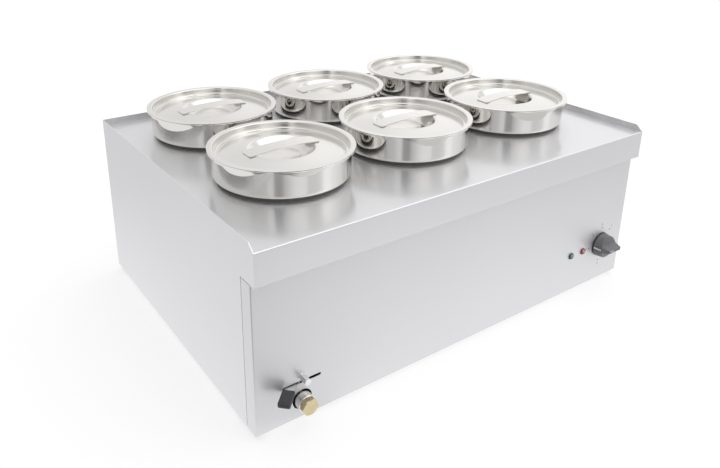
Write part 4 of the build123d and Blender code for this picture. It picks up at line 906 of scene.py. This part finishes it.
class BAINMARIE_OT_drain_tap(bpy.types.Operator):
    """Finish the tap's outlet and lever, cut its plug and dip the lever's grip."""

    bl_idname = "bainmarie.drain_tap"
    bl_label = "Drain tap"

    def execute(self, context):
        steel = context.scene.bainmarie_steel
        colours = context.scene.bainmarie_controls
        coat(machined_metal("nickel_plate", steel.nickel, 0.28), "tap_body")
        barrel = 3.3 * MM
        zinc = brushed_stainless("bright_zinc_lever", linear("#d6d7d8"), 0.3, (barrel, barrel, barrel))
        coat(zinc, "tap_lever")
        self.plug(machined_metal("machined_brass", steel.brass, 0.24))
        self.grip(moulding("dipped_vinyl", colours.vinyl, 0.3, grit=1.1 * MM))
        return {"FINISHED"}

    def plug(self, brass):
        """Hexagon head on a round shank, bevelled to a circle in front and a little behind.

        The radius is flat / cos(angle from the middle of the flat), or the bevel's where that is less.
        """
        low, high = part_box("tap_plug")
        centre = (low + high) / 2
        flat = (high.z - low.z) / 2
        corner = flat / cos(pi / 6)
        shank_r = 9.25 * MM
        head = 8.5 * MM
        bevel = 1.6 * MM
        back_bevel = 0.6 * MM
        bevel_start = head - bevel
        origin = (centre.x, low.y + head, centre.z)
        shank_end = low.y + head - high.y
        angles = circle(180)[None, :]
        hexagon = flat / np.cos((angles % (pi / 3)) - pi / 6)
        flats = np.array([2, 4, 6]) * MM
        slope = bevel_start + np.arange(6) * 0.3 * MM
        ahead = np.concatenate([np.linspace(0, back_bevel, 3), flats, slope])[:, None]
        front_limit = corner - (corner - flat) * np.clip(ahead - bevel_start, 0, None) / bevel
        back_limit = corner - np.clip(back_bevel - ahead, 0, None)
        radius = np.minimum(hexagon, np.minimum(front_limit, back_limit))
        body = about_front(origin, radius, ahead, angles)
        face = about_front(origin, np.array([[flat - 0.3 * MM], [flat * 0.7], [flat * 0.3]]), head, angles)
        stem = about_front(origin, shank_r, np.array([[shank_end], [0]]), angles)
        rings = np.concatenate([stem, body, face])
        ends = about_front(origin, 0.0, shank_end, 0.0), about_front(origin, 0.0, head, 0.0)
        piece = skin("hexagon_plug", rings, *ends, smooth=22)
        dress(piece, "drain_plug", "brass", brass, "tap_plug")

    def grip(self, vinyl):
        """Flat sleeve: a rounded section along the lever, drawn in by a quarter circle at each end."""
        pivot = middle("tap_stem")
        low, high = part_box("lever_grip")
        level = (low.z + high.z) / 2
        height = high.z - low.z
        # Both ends are measured from the pivot, along the lever
        start = 36 * MM
        end = 67 * MM
        width = 18 * MM
        corner = 3 * MM
        edge = 1.6 * MM
        lever_turn = pi / 4
        bend = np.linspace(0.05, pi / 2, 8)
        near = start + corner * (1 - np.cos(bend))
        far = end - corner * (1 - np.cos(bend))[::-1]
        along = np.concatenate([near, np.linspace(near[-1], far[0], 8)[1:-1], far])
        inset = np.clip(np.maximum(start + corner - along, along - end + corner), 0, corner)
        pull = corner - np.sqrt(np.maximum(corner**2 - inset**2, 0))
        outline = section(width, height, edge, steps=6)
        across = outline[None, :, 0] * (1 - 2 * pull[:, None] / width)
        up = outline[None, :, 1] * (1 - 1.2 * pull[:, None] / height)
        way = np.array([-sin(lever_turn), -cos(lever_turn)])
        left = np.array([-way[1], way[0]])
        x = pivot.x + along[:, None] * way[0] + across * left[0]
        y = pivot.y + along[:, None] * way[1] + across * left[1]
        rings = np.stack([x, y, level + up], axis=-1)
        piece = skin("dipped_grip", rings, rings[0].mean(0), rings[-1].mean(0), smooth=50)
        dress(piece, "drain_lever", "black_moulding", vinyl, "lever_grip")


class BAINMARIE_OT_studio(bpy.types.Operator):
    """Set the floor, the white surroundings with their soft light, and the camera."""

    bl_idname = "bainmarie.studio"
    bl_label = "Studio"

    def execute(self, context):
        scene = context.scene
        studio = scene.bainmarie_studio
        scene.view_settings.view_transform = "Standard"
        # Light in a deep polished pot needs more mirror bounces than Blender's four, or it stays black
        scene.cycles.glossy_bounces = 12
        self.floor(scene, studio)
        self.surroundings(scene, studio)
        self.camera(scene, studio)
        return {"FINISHED"}

    def floor(self, scene, studio):
        """A pale floor that keeps the shadow and is white to the camera.

        The even fill gives it albedo x fill, and a glow adds what is missing to just over white. Metals see
        no shadow on it. To them it fades with the distance, is dark on the camera's side, ahead of the object
        and to its left, and dims far ahead.
        """
        reach = 30.0
        albedo = 0.45
        white = 1.03
        mesh = bpy.data.meshes.new("floor")
        corners = [(-reach, -reach, 0), (reach, -reach, 0), (reach, reach, 0), (-reach, reach, 0)]
        mesh.from_pydata(corners, [], [(0, 1, 2, 3)])
        floor = bpy.data.objects.new("floor", mesh)
        scene.collection.objects.link(floor)
        material, tree = blank("pale_floor")
        path = add(tree, "ShaderNodeLightPath").outputs
        spot = add(tree, "ShaderNodeTexCoord").outputs["Object"]
        place = add(tree, "ShaderNodeSeparateXYZ", {0: spot}).outputs
        away = add(tree, "ShaderNodeVectorMath", {0: spot}, operation="LENGTH").outputs["Value"]
        level = grey_ramp(tree, away, FLOOR_FADE)
        ahead, beside, far = (
            add(
                tree,
                "ShaderNodeMapRange",
                {"Value": place[axis], "From Min": fade[0], "From Max": fade[1], "To Min": grey},
            ).outputs[0]
            for axis, fade, grey in (
                ("Y", DARK_AHEAD, studio.dark_floor),
                ("X", DARK_LEFT, studio.dark_floor),
                ("Y", FAR_AHEAD, studio.far_floor),
            )
        )
        corner = add(tree, "ShaderNodeMath", {0: ahead, 1: beside}, operation="MAXIMUM").outputs[0]
        for dark in (corner, far):
            level = add(tree, "ShaderNodeMath", {0: level, 1: dark}, operation="MULTIPLY").outputs[0]
        missing = {0: path["Is Camera Ray"], 1: white - albedo * studio.fill}
        missing = add(tree, "ShaderNodeMath", missing, operation="MULTIPLY").outputs[0]
        matt = add(tree, "ShaderNodeBsdfDiffuse", {"Color": (albedo, albedo, albedo, 1)}).outputs[0]
        glow = add(tree, "ShaderNodeEmission", {"Color": WHITE, "Strength": missing}).outputs[0]
        lit = add(tree, "ShaderNodeAddShader", {0: matt, 1: glow}).outputs[0]
        mirrored = add(tree, "ShaderNodeEmission", {"Color": WHITE, "Strength": level}).outputs[0]
        clear = {0: path["Is Glossy Ray"], 1: path["Is Transmission Ray"]}
        clear = add(tree, "ShaderNodeMath", clear, operation="MAXIMUM").outputs[0]
        shown = add(tree, "ShaderNodeMixShader", {0: clear, 1: lit, 2: mirrored}).outputs[0]
        add(tree, "ShaderNodeOutputMaterial", {"Surface": shown})
        mesh.materials.append(material)

    def surroundings(self, scene, studio):
        """White all round to the camera, a fill from above on what isn't metal, banded walls in the metals.

        The bands go by the compass, atan2(x, y), and the ceiling takes over with height.
        """
        world = bpy.data.worlds.new("studio")
        scene.world = world
        world.use_nodes = True
        tree = world.node_tree
        tree.nodes.clear()
        path = add(tree, "ShaderNodeLightPath").outputs
        way = add(tree, "ShaderNodeTexCoord").outputs["Generated"]
        parts = add(tree, "ShaderNodeSeparateXYZ", {0: way}).outputs
        compass = add(tree, "ShaderNodeMath", {0: parts["X"], 1: parts["Y"]}, operation="ARCTAN2").outputs[0]
        walls = grey_ramp(tree, compass, [(radians(degrees), grey) for degrees, grey in WALLS])
        height = {"Value": parts["Z"], "From Min": CEILING_FADE[0], "From Max": CEILING_FADE[1]}
        height = add(tree, "ShaderNodeMapRange", height, interpolation_type="SMOOTHSTEP").outputs[0]
        level = {"Value": height, "To Min": walls, "To Max": studio.ceiling}
        level = add(tree, "ShaderNodeMapRange", level).outputs[0]
        for place in SOFT_BOXES:
            toward = add(tree, "ShaderNodeVectorMath", {0: way, 1: place}, operation="DOT_PRODUCT")
            box = {"Value": toward.outputs["Value"], "To Max": studio.soft_box}
            box |= {"From Min": SOFT_BOX_FADE[0], "From Max": SOFT_BOX_FADE[1]}
            box = add(tree, "ShaderNodeMapRange", box, interpolation_type="SMOOTHSTEP").outputs[0]
            level = add(tree, "ShaderNodeMath", {0: level, 1: box}, operation="ADD").outputs[0]
        above = add(tree, "ShaderNodeVectorMath", {0: way, 1: FILL_FROM}, operation="DOT_PRODUCT")
        soft = {"Value": above.outputs["Value"]}
        soft |= {"To Min": FILL_RANGE[0] * studio.fill, "To Max": FILL_RANGE[1] * studio.fill}
        soft = add(tree, "ShaderNodeMapRange", soft).outputs[0]
        room, fill, white = (
            add(tree, "ShaderNodeBackground", {"Color": WHITE, "Strength": strength}).outputs[0]
            for strength in (level, soft, 1.0)
        )
        clear = {0: path["Is Glossy Ray"], 1: path["Is Transmission Ray"]}
        clear = add(tree, "ShaderNodeMath", clear, operation="MAXIMUM").outputs[0]
        lit = add(tree, "ShaderNodeMixShader", {0: clear, 1: fill, 2: room}).outputs[0]
        shown = add(tree, "ShaderNodeMixShader", {0: path["Is Camera Ray"], 1: lit, 2: white}).outputs[0]
        add(tree, "ShaderNodeOutputWorld", {"Surface": shown})

    def camera(self, scene, studio):
        """The photograph's view: its lens axis lies off the middle of the frame, so the lens is shifted."""
        data = bpy.data.cameras.new("camera")
        data.sensor_fit = "HORIZONTAL"
        data.sensor_width = 36.0
        data.lens = studio.focal_px / IMAGE_W * data.sensor_width
        data.shift_x = (IMAGE_W / 2 - studio.axis_px[0]) / IMAGE_W
        data.shift_y = (studio.axis_px[1] - IMAGE_H / 2) / IMAGE_W
        data.clip_end = 100
        camera = bpy.data.objects.new("camera", data)
        turn = Matrix.Rotation(-studio.camera_heading, 4, "Z")
        tilt = Matrix.Rotation(pi / 2 - studio.camera_drop, 4, "X")
        roll = Matrix.Rotation(studio.camera_roll, 4, "Z")
        camera.matrix_world = Matrix.Translation(studio.camera_place) @ turn @ tilt @ roll
        scene.collection.objects.link(camera)
        scene.camera = camera


OPERATORS = (
    BAINMARIE_OT_casing,
    BAINMARIE_OT_inner_fittings,
    BAINMARIE_OT_pots,
    BAINMARIE_OT_lids,
    BAINMARIE_OT_lid_handles,
    BAINMARIE_OT_knob,
    BAINMARIE_OT_dial,
    BAINMARIE_OT_lamps,
    BAINMARIE_OT_drain_tap,
    BAINMARIE_OT_studio,
)


class BAINMARIE_PT_parts(bpy.types.Panel):
    """Lists the makers of the pieces."""

    bl_idname = "BAINMARIE_PT_parts"
    bl_label = "Bain marie"
    bl_space_type = "VIEW_3D"
    bl_region_type = "UI"
    bl_category = "Bain marie"

    def draw(self, context):
        for operator in OPERATORS:
            self.layout.operator(operator.bl_idname)


SETTINGS = {
    "bainmarie_pots": PotSizes,
    "bainmarie_steel": SteelFinish,
    "bainmarie_controls": ControlFinish,
    "bainmarie_studio": Studio,
}
CLASSES = (*SETTINGS.values(), *OPERATORS, BAINMARIE_PT_parts)


def register():
    for cls in CLASSES:
        bpy.utils.register_class(cls)
    for name, group in SETTINGS.items():
        setattr(bpy.types.Scene, name, PointerProperty(type=group))


def unregister():
    for name in SETTINGS:
        delattr(bpy.types.Scene, name)
    for cls in reversed(CLASSES):
        bpy.utils.unregister_class(cls)


def main():
    register()
    bpy.ops.bainmarie.casing()
    bpy.ops.bainmarie.inner_fittings()
    bpy.ops.bainmarie.pots()
    bpy.ops.bainmarie.lids()
    bpy.ops.bainmarie.lid_handles()
    bpy.ops.bainmarie.knob()
    bpy.ops.bainmarie.dial()
    bpy.ops.bainmarie.lamps()
    bpy.ops.bainmarie.drain_tap()
    bpy.ops.bainmarie.studio()


if __name__ == "__main__":
    main()
